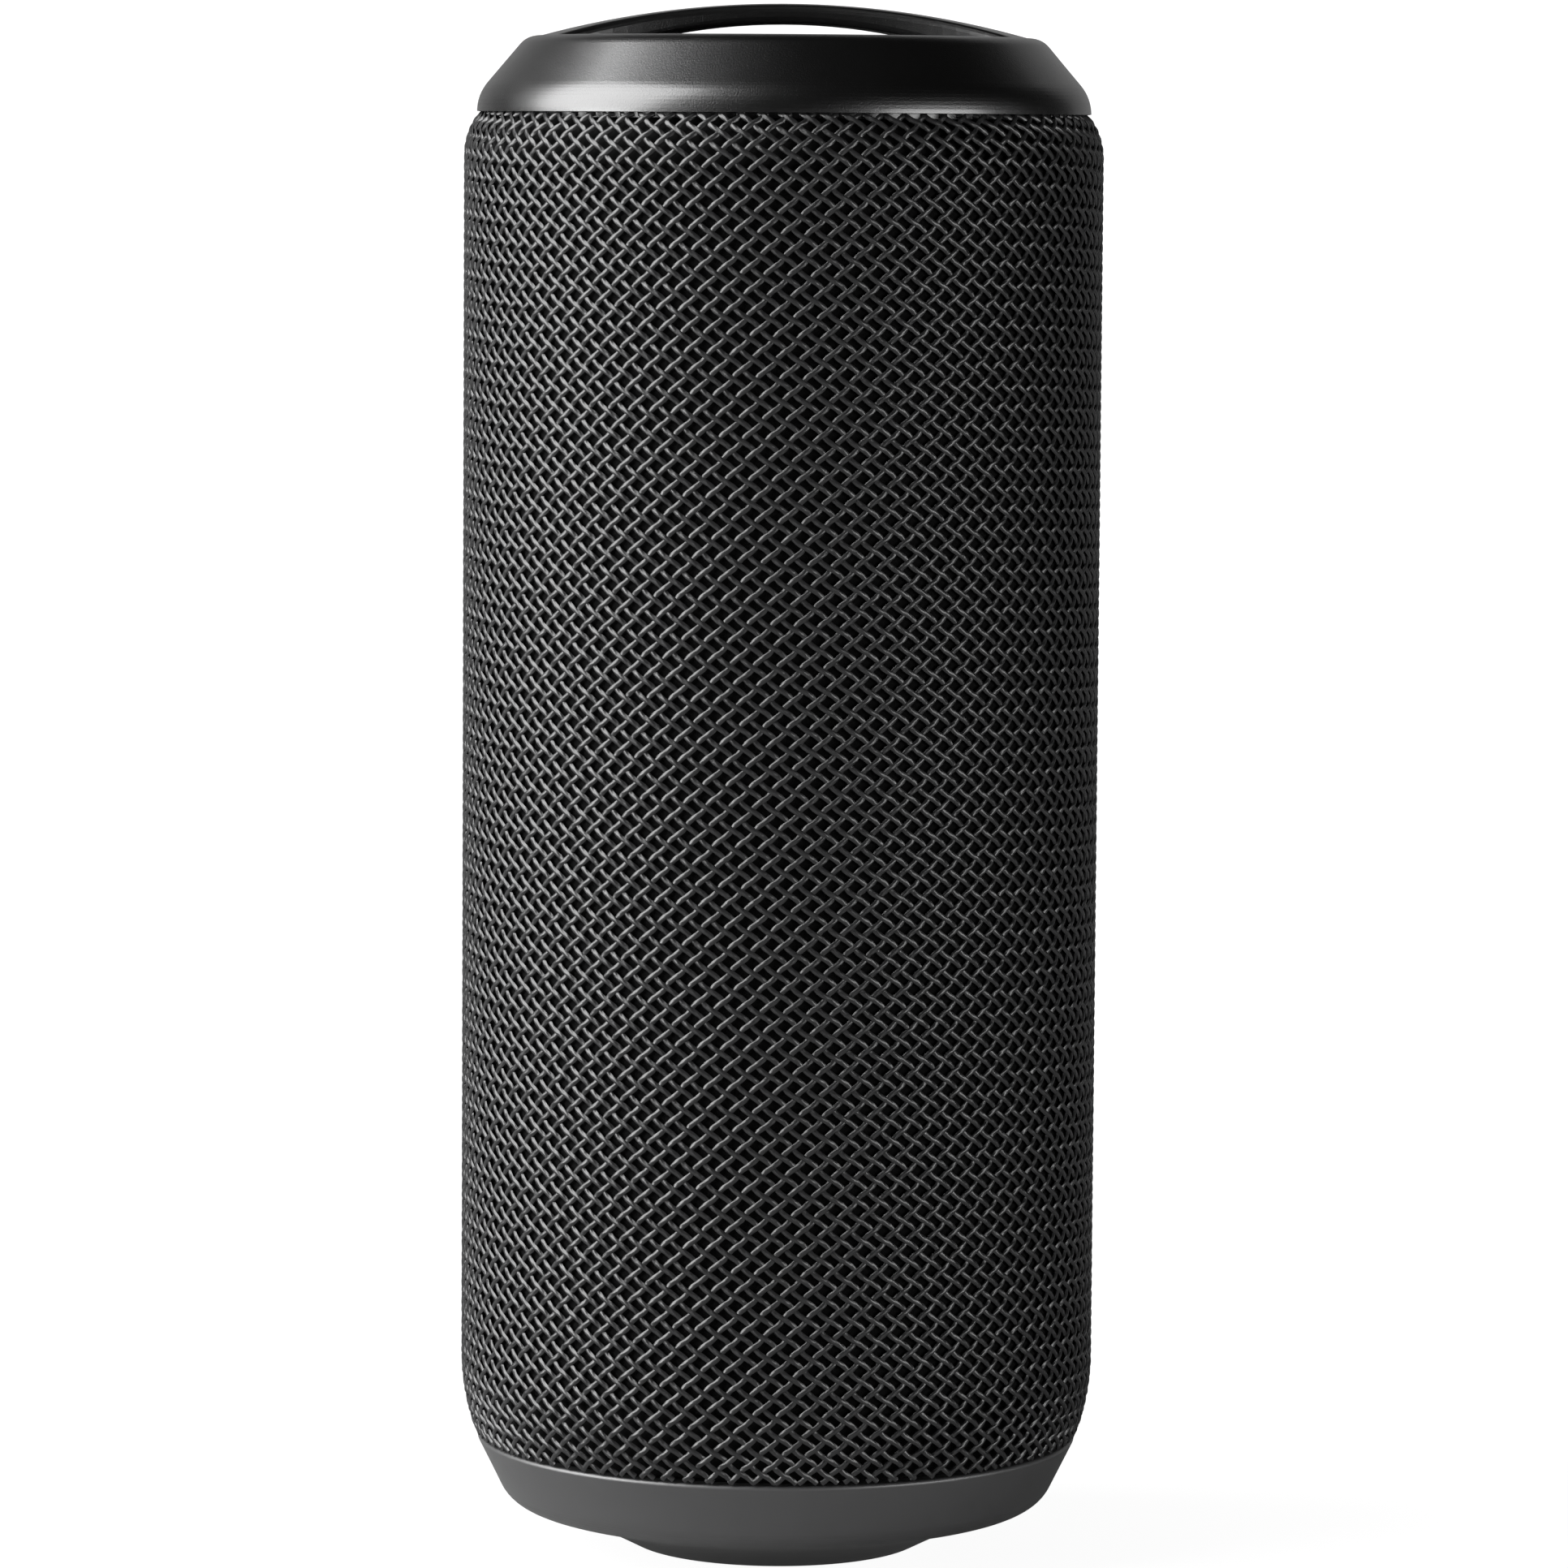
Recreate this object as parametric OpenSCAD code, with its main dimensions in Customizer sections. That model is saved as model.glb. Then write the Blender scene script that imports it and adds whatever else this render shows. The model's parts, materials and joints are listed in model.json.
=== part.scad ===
// Portable bluetooth speaker: a slim upright cylinder in a woven sleeve, with a carry handle arched over
// a control bowl in its top cap. Millimetres, +Z up. The origin is the middle of the foot's resting face,
// and the front of the speaker faces -Y.

/* [Sleeve and grille] */
// Diameter over the fabric sleeve
body_d = 80.2; // [79:0.1:90]
// Length of the fabric sleeve
sleeve_l = 166.5; // [166:0.5:180]
// Thickness of the fabric
sleeve_t = 1; // [0.6:0.1:1.2]
// Radius of the curve that closes the sleeve in at its top end
top_curve_r = 8.5; // [7:0.5:14]
// Length of that top curve
top_curve_l = 5.2; // [3:0.1:5.4]
// Radius of the curve that closes the sleeve in at its bottom end
foot_curve_r = 28; // [24:1:40]
// Length of that bottom curve
foot_curve_l = 10; // [5:0.5:11]
// Wall of the grille frame under the fabric
grille_t = 1.6; // [1.2:0.1:2]
// Depth of the stiff flange inside each end of the grille frame
flange_in = 1.7; // [1.2:0.1:2.2]
// Height of that flange
flange_h = 4.6; // [3:0.1:5]
// Number of grille windows round the frame
grille_columns = 16; // [12:1:20]
// Number of rows of grille windows
grille_rows = 8; // [6:1:9]
// Width of a grille window
window_w = 9; // [6:0.5:9.5]
// Height of the bar between two rows of windows
window_bar = 3.6; // [2.5:0.1:5]

/* [Cap and handle] */
// Distance that the cap's edge stands in from the fabric
cap_inset = 1.65; // [1.35:0.05:2.05]
// Height of the cap from its lower edge to its rim
cap_h = 9.5; // [9:0.1:11]
// Height of the cap's upright edge before the shoulder leans in
cap_edge_h = 2.1; // [1.6:0.1:3]
// Lean of the shoulder from upright, in degrees
shoulder_angle = 40.25; // [38:0.25:42]
// Radius between the upright edge and the shoulder
edge_round = 5.6; // [3:0.1:5.6]
// Radius between the shoulder and the rim
rim_round = 3; // [1.5:0.1:3.2]
// Thickness of the cap's outer wall
cap_t = 2.2; // [1.6:0.1:2.4]
// Distance from the cap's edge in to the hand hollow
hollow_inset = 10.25; // [9.85:0.05:10.95]
// Thickness of the wall round the hand hollow
hollow_t = 2.6; // [2.4:0.1:3]
// Rise of the handle over the rim
handle_rise = 4.15; // [3.5:0.05:6]
// Width of the handle at its waist
handle_w = 14; // [12:0.5:18]
// Thickness of the handle at its middle
handle_t = 2.3; // [2:0.1:3]
// Radius of the handle's underside along its arch
handle_under_r = 81; // [76:1:100]
// Radius of the handle's waisted sides, seen from above
handle_waist_r = 82; // [70:1:120]
// Rounding of the handle's long edges
handle_edge = 0.9; // [0.5:0.05:1]
// Wall of the skirt that plugs the cap and the base core into the grille frame
skirt_t = 1.7; // [1.4:0.1:2]

/* [Control bowl and keys] */
// Depth of the bowl's floor below the cap's lower edge
bowl_drop = 4.05; // [3:0.05:5]
// Height of the bowl's own wall
bowl_wall_h = 5.8; // [5:0.1:6.4]
// Thickness of the bowl
bowl_t = 2; // [1.6:0.1:2.4]
// Radius between the bowl's floor and its wall
bowl_round = 4; // [3:0.5:4.5]
// Thickness of the bowl's seating flange
bowl_flange_t = 2; // [1.5:0.1:2.5]
// Gap between the collars of two neighbouring front keys
key_gap = 1.1; // [0.8:0.1:2]
// Height that a key stands proud of the bowl's floor
key_proud = 0.8; // [0.5:0.1:1.2]
// Width of the retaining collar round a key
key_collar = 0.9; // [0.7:0.1:1]
// Thickness of that collar
key_collar_t = 1; // [0.8:0.1:1.4]
// Travel of a key
key_travel = 0.4; // [0.2:0.05:0.6]
// Distance between an outer key's hole and the round of the bowl's floor
key_margin = 0.3; // [0.1:0.1:1]
// Angle of the outer front keys from the front, in degrees
front_key_angle = 36.6; // [35:0.1:38]
// Angle of the rear keys from the rear, in degrees
rear_key_angle = 25.8; // [25:0.1:30]
// Diameter of the status light pipe
light_pipe_d = 2; // [1.5:0.1:2.2]
// Thickness of the keypad seal
seal_t = 0.6; // [0.4:0.1:1]
// Height of a key switch
switch_h = 1.5; // [1.2:0.1:2]
// Width of a key switch
switch_w = 5.2; // [4.5:0.1:6]
// Distance of the control board's edge in from the hand hollow
control_board_inset = 2.2; // [1:0.1:3]
// Thickness of both circuit boards
board_t = 1.6; // [1:0.1:1.8]

/* [Acoustic chassis] */
// Distance of the chassis's top below the upper end of the sleeve
chassis_top_gap = 17; // [14:0.5:17]
// Height of the chassis above the ground
chassis_z = 40; // [38.5:0.5:40.5]
// Wall of the chassis
chassis_t = 2.2; // [1.8:0.1:2.4]
// Depth of the flats that carry the drivers and radiators inside the barrel's round
flat_inset = 11.4; // [11:0.1:11.9]
// Thickness of the gasket between the chassis halves
joint_seal_t = 1; // [0.6:0.1:1.4]
// Width of that gasket
joint_seal_w = 1.6; // [1.2:0.1:1.8]
// Distance of the chassis screws in from the barrel's round
chassis_screw_inset = 8.4; // [8:0.1:8.9]
// Depth of the chassis screw heads behind the middle
chassis_screw_seat = 15; // [13:0.5:16]
// Diameter of a chassis screw's boss
chassis_boss_d = 7; // [6:0.1:7.4]
// Thickness of the foam ring on top of the chassis
top_foam_t = 3; // [2:0.1:4]

/* [Drivers] */
// Distance from the driver's flange to the side of its flat
driver_side_gap = 2.45; // [2.25:0.05:2.95]
// Width of the driver's flange round its opening
driver_land = 4.5; // [4.2:0.1:5]
// Thickness of the driver's flange
driver_flange_t = 1.6; // [1.2:0.1:2]
// Thickness of the gaskets under the drivers and radiators
mount_seal_t = 0.5; // [0.3:0.1:0.8]
// Depth of the driver's basket behind its flange
basket_depth = 11.7; // [11:0.1:12.4]
// Diameter of the motor
motor_d = 30; // [28:0.5:31]
// Thickness of the motor's top plate
top_plate_t = 2.5; // [2:0.1:2.6]
// Thickness of the magnet
magnet_t = 4; // [3.6:0.1:4.2]
// Thickness of the yoke's back plate
back_plate_t = 2.5; // [2:0.1:2.6]
// Diameter of the pole
pole_d = 12.4; // [11:0.1:13]
// Wall of the voice coil
coil_t = 0.5; // [0.3:0.05:0.7]
// Gap each side of the voice coil
coil_gap = 0.4; // [0.3:0.05:0.5]
// Length of the voice coil that stays behind the top plate when the cone is at its foremost
coil_spare = 0.5; // [0.2:0.1:0.8]
// Thickness of the cone
cone_t = 0.6; // [0.4:0.05:0.8]
// Diameter of the dust cap
dust_cap_d = 16.4; // [15.6:0.1:18]
// Radius of the driver's surround roll
driver_roll_r = 1.8; // [1.6:0.05:1.9]
// Travel of the cone each way
cone_travel = 1.5; // [0.5:0.1:1.7]

/* [Passive radiators] */
// Distance from the radiator's frame to the side of its flat
radiator_side_gap = 2.95; // [2.45:0.05:3.45]
// Gap between the driver's flange and the radiator's frame under it
radiator_gap = 1; // [0.6:0.1:3]
// Width of the radiator's frame round its opening
radiator_land = 5; // [4.6:0.1:5.8]
// Thickness of the moving plate
radiator_plate_t = 1.6; // [1.2:0.1:2]
// Radius of the radiator's surround roll
radiator_roll_r = 2; // [1.8:0.05:2.1]
// Thickness of the radiator's frame
radiator_frame_t = 1.6; // [1.2:0.1:2]

/* [Battery and main board] */
// Diameter of a battery cell
cell_d = 18.4; // [18:0.1:18.8]
// Free height between the battery tray and the drivers' motors
battery_headroom = 9.8; // [7.8:0.1:10.8]
// Thickness of the battery tray
tray_t = 2; // [1.5:0.1:2.5]
// Gap between the main board's edge and the base core's skirt
main_board_gap = 2.65; // [1.65:0.05:3.65]
// Distance of the main board's straight rear edge in from the port pocket's floor
main_board_setback = 5.6; // [4.6:0.1:6.6]
// Height of the main board's upper face above the ground
main_board_z = 25; // [24:0.1:25.2]

/* [Ports] */
// Height of the middle of the port window above the ground
port_z = 28.2; // [28:0.1:28.8]
// Width of the port cover
port_cover_w = 29.4; // [28:0.1:30]
// Height of the port cover
port_cover_h = 10; // [9.6:0.1:11]
// Thickness of the port cover
port_cover_t = 1.9; // [1.6:0.1:2.2]
// Width of the bezel round the port cover
bezel_w = 2.4; // [2.2:0.1:3]
// Depth of the port pocket's floor under the fabric
pocket_depth = 5.5; // [5.3:0.1:6.1]
// Thickness of the pocket's floor
pocket_floor_t = 1.4; // [1.2:0.1:1.8]
// Diameter of the bead that the port cover turns on
bead_d = 2.4; // [2.2:0.1:2.6]
// Sideways place of the USB socket
usb_x = 5.5; // [5:0.1:6.5]
// Sideways place of the aux jack
aux_x = -6; // [-6.5:0.1:-5]

/* [Base] */
// Height of the rubber base
base_h = 14.25; // [13.5:0.05:15]
// Distance that the rubber base's upper lip stands in from the fabric
base_inset = 1.9; // [1.6:0.05:2.1]
// Distance that the rubber base draws in from its lip down to the corner where it turns under
base_taper = 4.1; // [3.4:0.1:4.7]
// Height of that corner
base_corner_z = 5.95; // [5.6:0.05:6.4]
// Radius of that corner
base_corner_r = 4.7; // [3:0.1:5]
// Thickness of the rubber
base_t = 2.2; // [1.8:0.1:2.4]
// Diameter of the rubber base at the neck, where its underside turns down to the foot
neck_d = 48; // [44:0.5:52]
// Height of the neck
neck_z = 3.3; // [2.6:0.05:3.6]
// Radius of the hollow curve at the neck
neck_round = 30; // [15:1:40]
// Diameter of the rubber base where it nearly meets the ground, round the foot pad
base_ring_d = 36; // [35:0.1:37.5]
// Rounding of that ring
base_ring_round = 2; // [1:0.1:3]
// Height of that ring above the ground
base_ring_z = 0.2; // [0.1:0.05:0.5]
// Diameter of the foot pad
foot_d = 30.6; // [29:0.1:31]
// Thickness of the foot pad
foot_t = 2.2; // [2:0.1:2.6]
// Rounding of the foot pad's lower edge
foot_round = 0.8; // [0.4:0.1:1.6]
// Wall of the base core
core_t = 2; // [1.6:0.1:2.2]
// Distance of the base screws from the middle
base_screw_r = 11; // [10.5:0.1:11.5]
// Diameter of the chassis pedestals
pedestal_d = 7; // [6.4:0.1:7.4]

/* [Fits] */
// Gap between pieces that are fixed together
seat_gap = 0.1; // [0.05:0.01:0.15]
// Gap between the fabric and the grille frame
sleeve_gap = 0.2; // [0.1:0.05:0.3]
// Gap round each plugged-in skirt
skirt_gap = 0.25; // [0.15:0.05:0.35]
// Gap at each end of the sleeve
seam_gap = 0.25; // [0.15:0.05:0.35]
// Gap round a moving key or port cover
moving_gap = 0.3; // [0.25:0.05:0.35]
// Gap between the grille frame and the chassis
cage_gap = 0.9; // [0.7:0.05:0.95]

/* [Hidden] */
$fn = 64;
through = 200;
overlap = 0.5;
arc_steps = 8;

// Sleeve and grille
body_r = body_d / 2;
sleeve_z = base_h + seam_gap;
sleeve_top = sleeve_z + sleeve_l;
grille_in = body_r - sleeve_t - sleeve_gap - grille_t;
flange_r = grille_in - flange_in;
grille_end_gap = 0.4;
grille_z = sleeve_z + grille_end_gap;
grille_top = sleeve_top - grille_end_gap;
window_end_bar = 3;
window_zone_z = chassis_z + 1;
window_zone_h = grille_top - flange_h - window_end_bar - window_zone_z;
window_pitch = window_zone_h / grille_rows;
window_h = window_pitch - window_bar;

// Skirts and their snap hooks
skirt_out = flange_r - skirt_gap;
skirt_in = skirt_out - skirt_t;
hook_count = 6;
hook_sweep = 16;
hook_out = 1.1;
hook_h = 1.4;
skirt_lead = 0.4;

// Cap and handle
cap_r = body_r - cap_inset;
cap_z = sleeve_top + seam_gap;
shoulder_z = cap_z + cap_edge_h;
rim_z = cap_z + cap_h;
rim_corner_r = cap_r - (rim_z - shoulder_z) * tan(shoulder_angle);
hollow_r = cap_r - hollow_inset;
hollow_out = hollow_r + hollow_t;
shoulder_inset = cap_t / cos(shoulder_angle);
bowl_floor_z = cap_z - bowl_drop;
bowl_seat_z = bowl_floor_z + bowl_wall_h;
chassis_top = sleeve_top - chassis_top_gap;
chassis_h = chassis_top - chassis_z;
cap_skirt_z = chassis_top + top_foam_t + seat_gap;
handle_sink = 0.1;
handle_end = hollow_out - handle_sink;
handle_reach = handle_end - handle_sink;
handle_dome_r = (handle_reach * handle_reach + handle_rise * handle_rise) / (2 * handle_rise);
handle_top = rim_z + handle_rise;
handle_stations = 30;
edge_steps = 4;
rim_edge_round = 0.8;
cap_lip_round = 0.3;

// Screws
small_screw_r = 1;
small_head_r = 1.6;
small_head_h = 1.4;
large_screw_r = 1.45;
large_head_r = 2.7;
large_head_h = 1.9;
screw_fit = 0.1;
head_gap = 0.3;
bowl_screw_r = (hollow_r + bowl_t + skirt_in) / 2;
bowl_screw_l = 4;
bowl_screw_angles = [45 : 90 : 315];
bowl_screw_grip = 3;
bowl_boss_r = 2.2;

// Keys, seal, switches and control board, from the bowl's floor down
bowl_under_z = bowl_floor_z - bowl_t;
key_floor_r = hollow_r - bowl_round - moving_gap - key_margin;
key_edge = key_collar + key_gap / 2;
front_key_share = sin(front_key_angle);
front_key_pitch = (key_floor_r + key_edge) * front_key_share / (1 + front_key_share / 2);
key_r = front_key_pitch / 2 - key_edge;
key_row_y = front_key_pitch / tan(front_key_angle);
rear_key_x = key_row_y * tan(rear_key_angle);
key_collar_r = key_r + key_collar;
collar_gap = 0.2;
press_gap = 0.15;
key_collar_top = bowl_under_z - collar_gap;
key_collar_z = key_collar_top - key_collar_t;
seal_top = key_collar_z - key_travel - press_gap;
seal_z = seal_top - seal_t;
control_board_top = seal_z - switch_h;
plunger_top = seal_top - seal_t / 2;
plunger_r = 1;
key_post_r = 1.6;
key_post_z = plunger_top + key_travel + press_gap;
light_pipe_y = key_row_y;
light_pipe_collar = 0.5;
light_pipe_collar_h = 1;
control_board_r = hollow_r - control_board_inset;
control_post_inset = 5;
control_post_x = control_board_r - control_post_inset;
control_post_r = 2;
control_pilot_l = 3;
control_screw_grip = 2.6;
seal_inset = 1;

// Parts of the control board as [width, depth, height], and their places on it
light_size = [1.6, 1, 0.7];
microphone_size = [3.8, 2.6, 1.1];
radio_size = [7, 7, 1];
plug_size = [10, 4, 2.6];
microphone_inset = 3.8;
plug_y = 14;
key_places = [
  [-rear_key_x, key_row_y], [rear_key_x, key_row_y], [-front_key_pitch, -key_row_y],
  [0, -key_row_y], [front_key_pitch, -key_row_y]
];

// Chassis
chassis_r = grille_in - cage_gap;
flat_y = chassis_r - flat_inset;
flat_half_w = sqrt(chassis_r * chassis_r - flat_y * flat_y);
driver_r = flat_half_w - driver_side_gap;
driver_edge_gap = 0.8;
driver_z = chassis_top - chassis_t - driver_edge_gap - driver_r;
radiator_low = chassis_z + chassis_t + driver_edge_gap;
radiator_h = driver_z - driver_r - radiator_gap - radiator_low;
radiator_z = radiator_low + radiator_h / 2;
chassis_screw_x = chassis_r - chassis_screw_inset;
chassis_screw_end = 7;
chassis_screw_zs = [
  chassis_z + chassis_screw_end, chassis_z + chassis_h / 2, chassis_top - chassis_screw_end
];
chassis_pilot_l = 10;
chassis_screw_grip = 8;
chassis_screw_l = chassis_screw_seat + chassis_screw_grip;
pedestal_pilot_l = 10;

// Driver, in its own frame: the mounting flat is z = 0 and the sound goes to +z
flange_z = mount_seal_t;
flange_top = flange_z + driver_flange_t;
basket_z = flange_z - basket_depth;
motor_r = motor_d / 2;
magnet_z = basket_z - top_plate_t - magnet_t;
pole_r = pole_d / 2;
coil_in = pole_r + coil_gap;
coil_out = coil_in + coil_t;
plate_bore_r = coil_out + coil_gap;
magnet_step = 1;
magnet_bore_r = plate_bore_r + magnet_step;
yoke_round = 0.6;
pole_round = 0.4;
coil_proud = 6;
coil_top = basket_z + coil_proud;
coil_l = coil_proud + top_plate_t + cone_travel + coil_spare;
roll_t = 0.5;
basket_in = driver_r - driver_land;
driver_roll_mid = basket_in - driver_roll_r;
cone_r = driver_roll_mid - driver_roll_r + roll_t;
cone_drop = 0.6;
cone_rim_z = flange_top - cone_drop;
cone_lip = 0.9;
cone_neck_h = 1;
roll_land = 1;
land_gap = 0.05;
basket_wall = 1;
basket_flare = 0.6;
basket_bore_gap = 0.5;
basket_window_w = 10;
basket_window_in = 4;
basket_bar = 1.2;
spider_rise = 3.4;
spider_z = basket_z + spider_rise;
spider_t = 0.45;
spider_waves = 3;
spider_wave_h = 0.4;
spider_land = 0.6;
spider_flat = 0.7;
spider_fade_in = 4;
spider_fade_out = 6;
spider_ledge = 1.2;
spider_ledge_t = 1;
spider_ledge_root = 1.4;
basket_floor_t = 1.2;
basket_foot_step = 0.2;
basket_foot_r = motor_r - basket_foot_step;
mount_screw_inset = 1.7;
mount_screw_r = driver_r - mount_screw_inset;
mount_screw_short = 0.3;
cutout_gap = 0.2;
driver_cutout_r = basket_in + basket_wall + cutout_gap;
dust_cap_rise = 2.2;
dust_cap_t = 0.5;

// Radiator, in the same kind of frame
radiator_r = flat_half_w - radiator_side_gap;
radiator_straight = radiator_h - 2 * radiator_r;
radiator_frame_in = radiator_r - radiator_land;
radiator_roll_mid = radiator_frame_in - radiator_roll_r;
radiator_plate_gap = 0.2;
radiator_plate_r = radiator_roll_mid - radiator_roll_r + roll_t - radiator_plate_gap;
radiator_plate_drop = 0.1;
radiator_frame_top = mount_seal_t + radiator_frame_t;
radiator_plate_z = radiator_frame_top - radiator_plate_t - radiator_plate_drop;
radiator_cutout_r = radiator_frame_in + 2 * cutout_gap;
weight_inset = 5;
weight_back = 1;
weight_front = 0.6;

// Battery
cell_r = cell_d / 2;
cell_gap = 0.4;
cell_x = cell_r + cell_gap / 2;
cell_lift = 3;
cell_z = chassis_z + chassis_t + cell_lift;
tray_y = cell_r + seat_gap;
tray_side_gap = 0.25;
tray_stop_t = 2;
tray_top = driver_z - motor_r - battery_headroom;
cell_l = tray_top - tray_stop_t - cell_z;
saddle_h = 6;
saddle_inset = 8;

// Base
base_r = body_r - base_inset;
base_corner = base_r - base_taper;
foot_r = foot_d / 2;
foot_gap = 0.3;
base_inner_r = foot_r + foot_gap;
base_lip_round = 0.4;
base_neck_r = neck_d / 2;
base_ring_r = base_ring_d / 2;
core_seat_w = 3;
core_seat_r = base_inner_r + core_seat_w;
core_floor_z = foot_t + seat_gap;
core_floor_t = 2.6;
core_boss_h = 2.2;
core_boss_top = core_floor_z + core_floor_t + core_boss_h;
core_boss_wall = 1;
core_skirt_top = grille_z + flange_h + seat_gap + hook_h + skirt_lead;
core_notch_depth = 6;
base_screw_angles = [90, 210, 330];
main_board_r = skirt_in - main_board_gap;
main_board_under = main_board_z - board_t;
board_post_angles = [0, 180, 270];
board_post_inset = 5;
board_post_r = main_board_r - board_post_inset;
board_post_d = 5;
board_pilot_l = 5;
board_screw_grip = 4;

// Parts of the main board: a shield can, an amplifier, an inductor, a plug socket and chips as
// [angle, distance in from the edge, width, depth, height]
main_board_boxes = [
  [225, 8, 8, 8, 2.2], [315, 8, 7, 7, 1], [40, 9, 7, 7, 4], [140, 9, 10, 4, 5.6],
  [62, 10, 6, 4, 1.2], [160, 8, 5, 8, 1.6], [18, 7, 5, 6, 1.6]
];
// Capacitors of the main board as [angle, distance in from the edge, radius, height]
main_board_cans = [[255, 7, 2.5, 7], [285, 7, 2.5, 7], [340, 7, 3.1, 8]];

// Ports
bezel_out_w = port_cover_w + 2 * moving_gap + 2 * bezel_w;
bezel_out_h = port_cover_h + 2 * moving_gap + 2 * bezel_w;
bezel_round = 3;
pocket_round = 1.6;
bezel_proud = 0.1;
bezel_r = body_r + bezel_proud;
pocket_y = body_r - pocket_depth;
main_board_rear = pocket_y - main_board_setback;
port_cover_r = body_r;
bead_r = bead_d / 2;
bead_place_r = port_cover_r - bead_r;
bead_x = -port_cover_w / 2;
bead_y = sqrt(bead_place_r * bead_place_r - bead_x * bead_x);
usb_w = 9;
usb_h = 3.3;
usb_l = 7.4;
usb_wall = 0.35;
usb_back_t = 1;
usb_stand_inset = 1;
tongue_w = 6.7;
tongue_h = 0.7;
tongue_in = 1;
aux_d = 6;
aux_bore_d = 3.6;
aux_l = 12;
aux_block_w = 7;
aux_bore_l = 11;
slot_flat = 0.01;
large_screw_l = 12;

// ---- Shapes used by several pieces ----

function unit(v) = v / norm(v);

function flat(p) = [p[0], p[1]];

// Points that round the corner b = [x, y, radius] between its neighbours a and c
function round_corner(a, b, c) =
  let (
    corner = flat(b),
    u = unit(flat(a) - corner),
    v = unit(flat(c) - corner),
    half = acos(max(-1, min(1, u * v))) / 2,
    r = b[2],
    centre = corner + unit(u + v) * r / sin(half),
    first = corner + u * r / tan(half) - centre,
    last = corner + v * r / tan(half) - centre,
    from = atan2(first[1], first[0]),
    turn = atan2(last[1], last[0]) - from,
    sweep = turn > 180 ? turn - 360 : turn < -180 ? turn + 360 : turn
  )
  [for (i = [0 : arc_steps]) let (a = from + sweep * i / arc_steps) centre + r * [cos(a), sin(a)]];

// The outline through corners [x, y] or [x, y, radius]
function outline(corners) =
  let (n = len(corners))
  [for (i = [0 : n - 1]) let (a = corners[(i + n - 1) % n], b = corners[i], c = corners[(i + 1) % n])
    each (len(b) == 2 || b[2] == 0 ? [flat(b)] : round_corner(a, b, c))];

// Where the corner b lies when the line a-b-c moves by d to its left
function mitre(a, b, c, d) =
  let (u = unit(b - a), v = unit(c - b), n = [-u[1], u[0]], m = [-v[1], v[0]])
  b + (n + m) * d / (1 + n * m);

module revolve(corners) {
  rotate_extrude() polygon(outline(corners));
}

module ring(r_out, r_in, h) {
  difference() {
    cylinder(r = r_out, h = h);
    translate([0, 0, -overlap]) cylinder(r = r_in, h = h + 2 * overlap);
  }
}

// A rectangle with true round corners
module rounded_rect(w, h, r) {
  square([w - 2 * r, h], center = true);
  square([w, h - 2 * r], center = true);
  for (x = [-1, 1], y = [-1, 1]) translate([x * (w / 2 - r), y * (h / 2 - r)]) circle(r = r);
}

// A racetrack: two half circles joined by straights along y
module racetrack(r, straight) {
  square([2 * r, straight], center = true);
  for (y = [-1, 1]) translate([0, y * straight / 2]) circle(r = r);
}

// Carries a profile, drawn at x > 0, round a racetrack
module racetrack_sweep(straight) {
  for (turn = [0, 180]) rotate([0, 0, turn]) {
    translate([0, straight / 2, 0]) rotate_extrude(angle = 180) children();
    translate([0, straight / 2, 0]) rotate([90, 0, 0]) linear_extrude(height = straight) children();
  }
}

// The fabric's outline from bottom to top, moved in by d and cut short by cut at both ends
function skin(d, cut) =
  let (
    low = asin((foot_curve_l - cut) / (foot_curve_r - d)),
    high = asin((top_curve_l - cut) / (top_curve_r - d))
  )
  concat(
    [for (i = [0 : arc_steps]) let (a = low * (i / arc_steps - 1))
      [body_r - foot_curve_r, sleeve_z + foot_curve_l] + (foot_curve_r - d) * [cos(a), sin(a)]],
    [for (i = [0 : arc_steps]) let (a = high * i / arc_steps)
      [body_r - top_curve_r, sleeve_top - top_curve_l] + (top_curve_r - d) * [cos(a), sin(a)]]
  );

function reversed(list) = [for (i = [len(list) - 1 : -1 : 0]) list[i]];

// Snap hooks on a skirt, with their flat side at z = 0 and their slope going to +z
module snap_hooks() {
  for (i = [0 : hook_count - 1]) rotate([0, 0, (i + 0.5) * 360 / hook_count - hook_sweep / 2])
    rotate_extrude(angle = hook_sweep)
      polygon([
        [skirt_out - overlap, 0], [skirt_out + hook_out, 0], [skirt_out + hook_out, hook_h / 3],
        [skirt_out, hook_h], [skirt_out - overlap, hook_h]
      ]);
}

// A pan-head screw with its head's seat at z = 0 and its shank going to +z
module screw(shank_r, head_r, head_h, length) {
  translate([0, 0, -head_h]) cylinder(r = head_r, h = head_h);
  cylinder(r = shank_r, h = length);
}

module at_each(places) {
  for (p = places) translate([p[0], p[1], 0]) children();
}

module round_the_axis(angles, r) {
  for (a = angles) rotate([0, 0, a]) translate([r, 0, 0]) children();
}

// Puts a child, modelled facing +z on a flat at z = 0, on the front or the rear of the chassis
module facing(side, z) {
  rotate([0, 0, side == "front" ? 0 : 180]) translate([0, -flat_y, z]) rotate([90, 0, 0]) children();
}

// ---- Top cap with its arched handle ----

function dome_z(r) = handle_top - handle_dome_r + sqrt(handle_dome_r * handle_dome_r - r * r);

function under_z(r) =
  handle_top - handle_t - handle_under_r + sqrt(handle_under_r * handle_under_r - r * r);

function half_width(x) =
  handle_w / 2 + handle_waist_r - sqrt(handle_waist_r * handle_waist_r - x * x);

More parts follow.
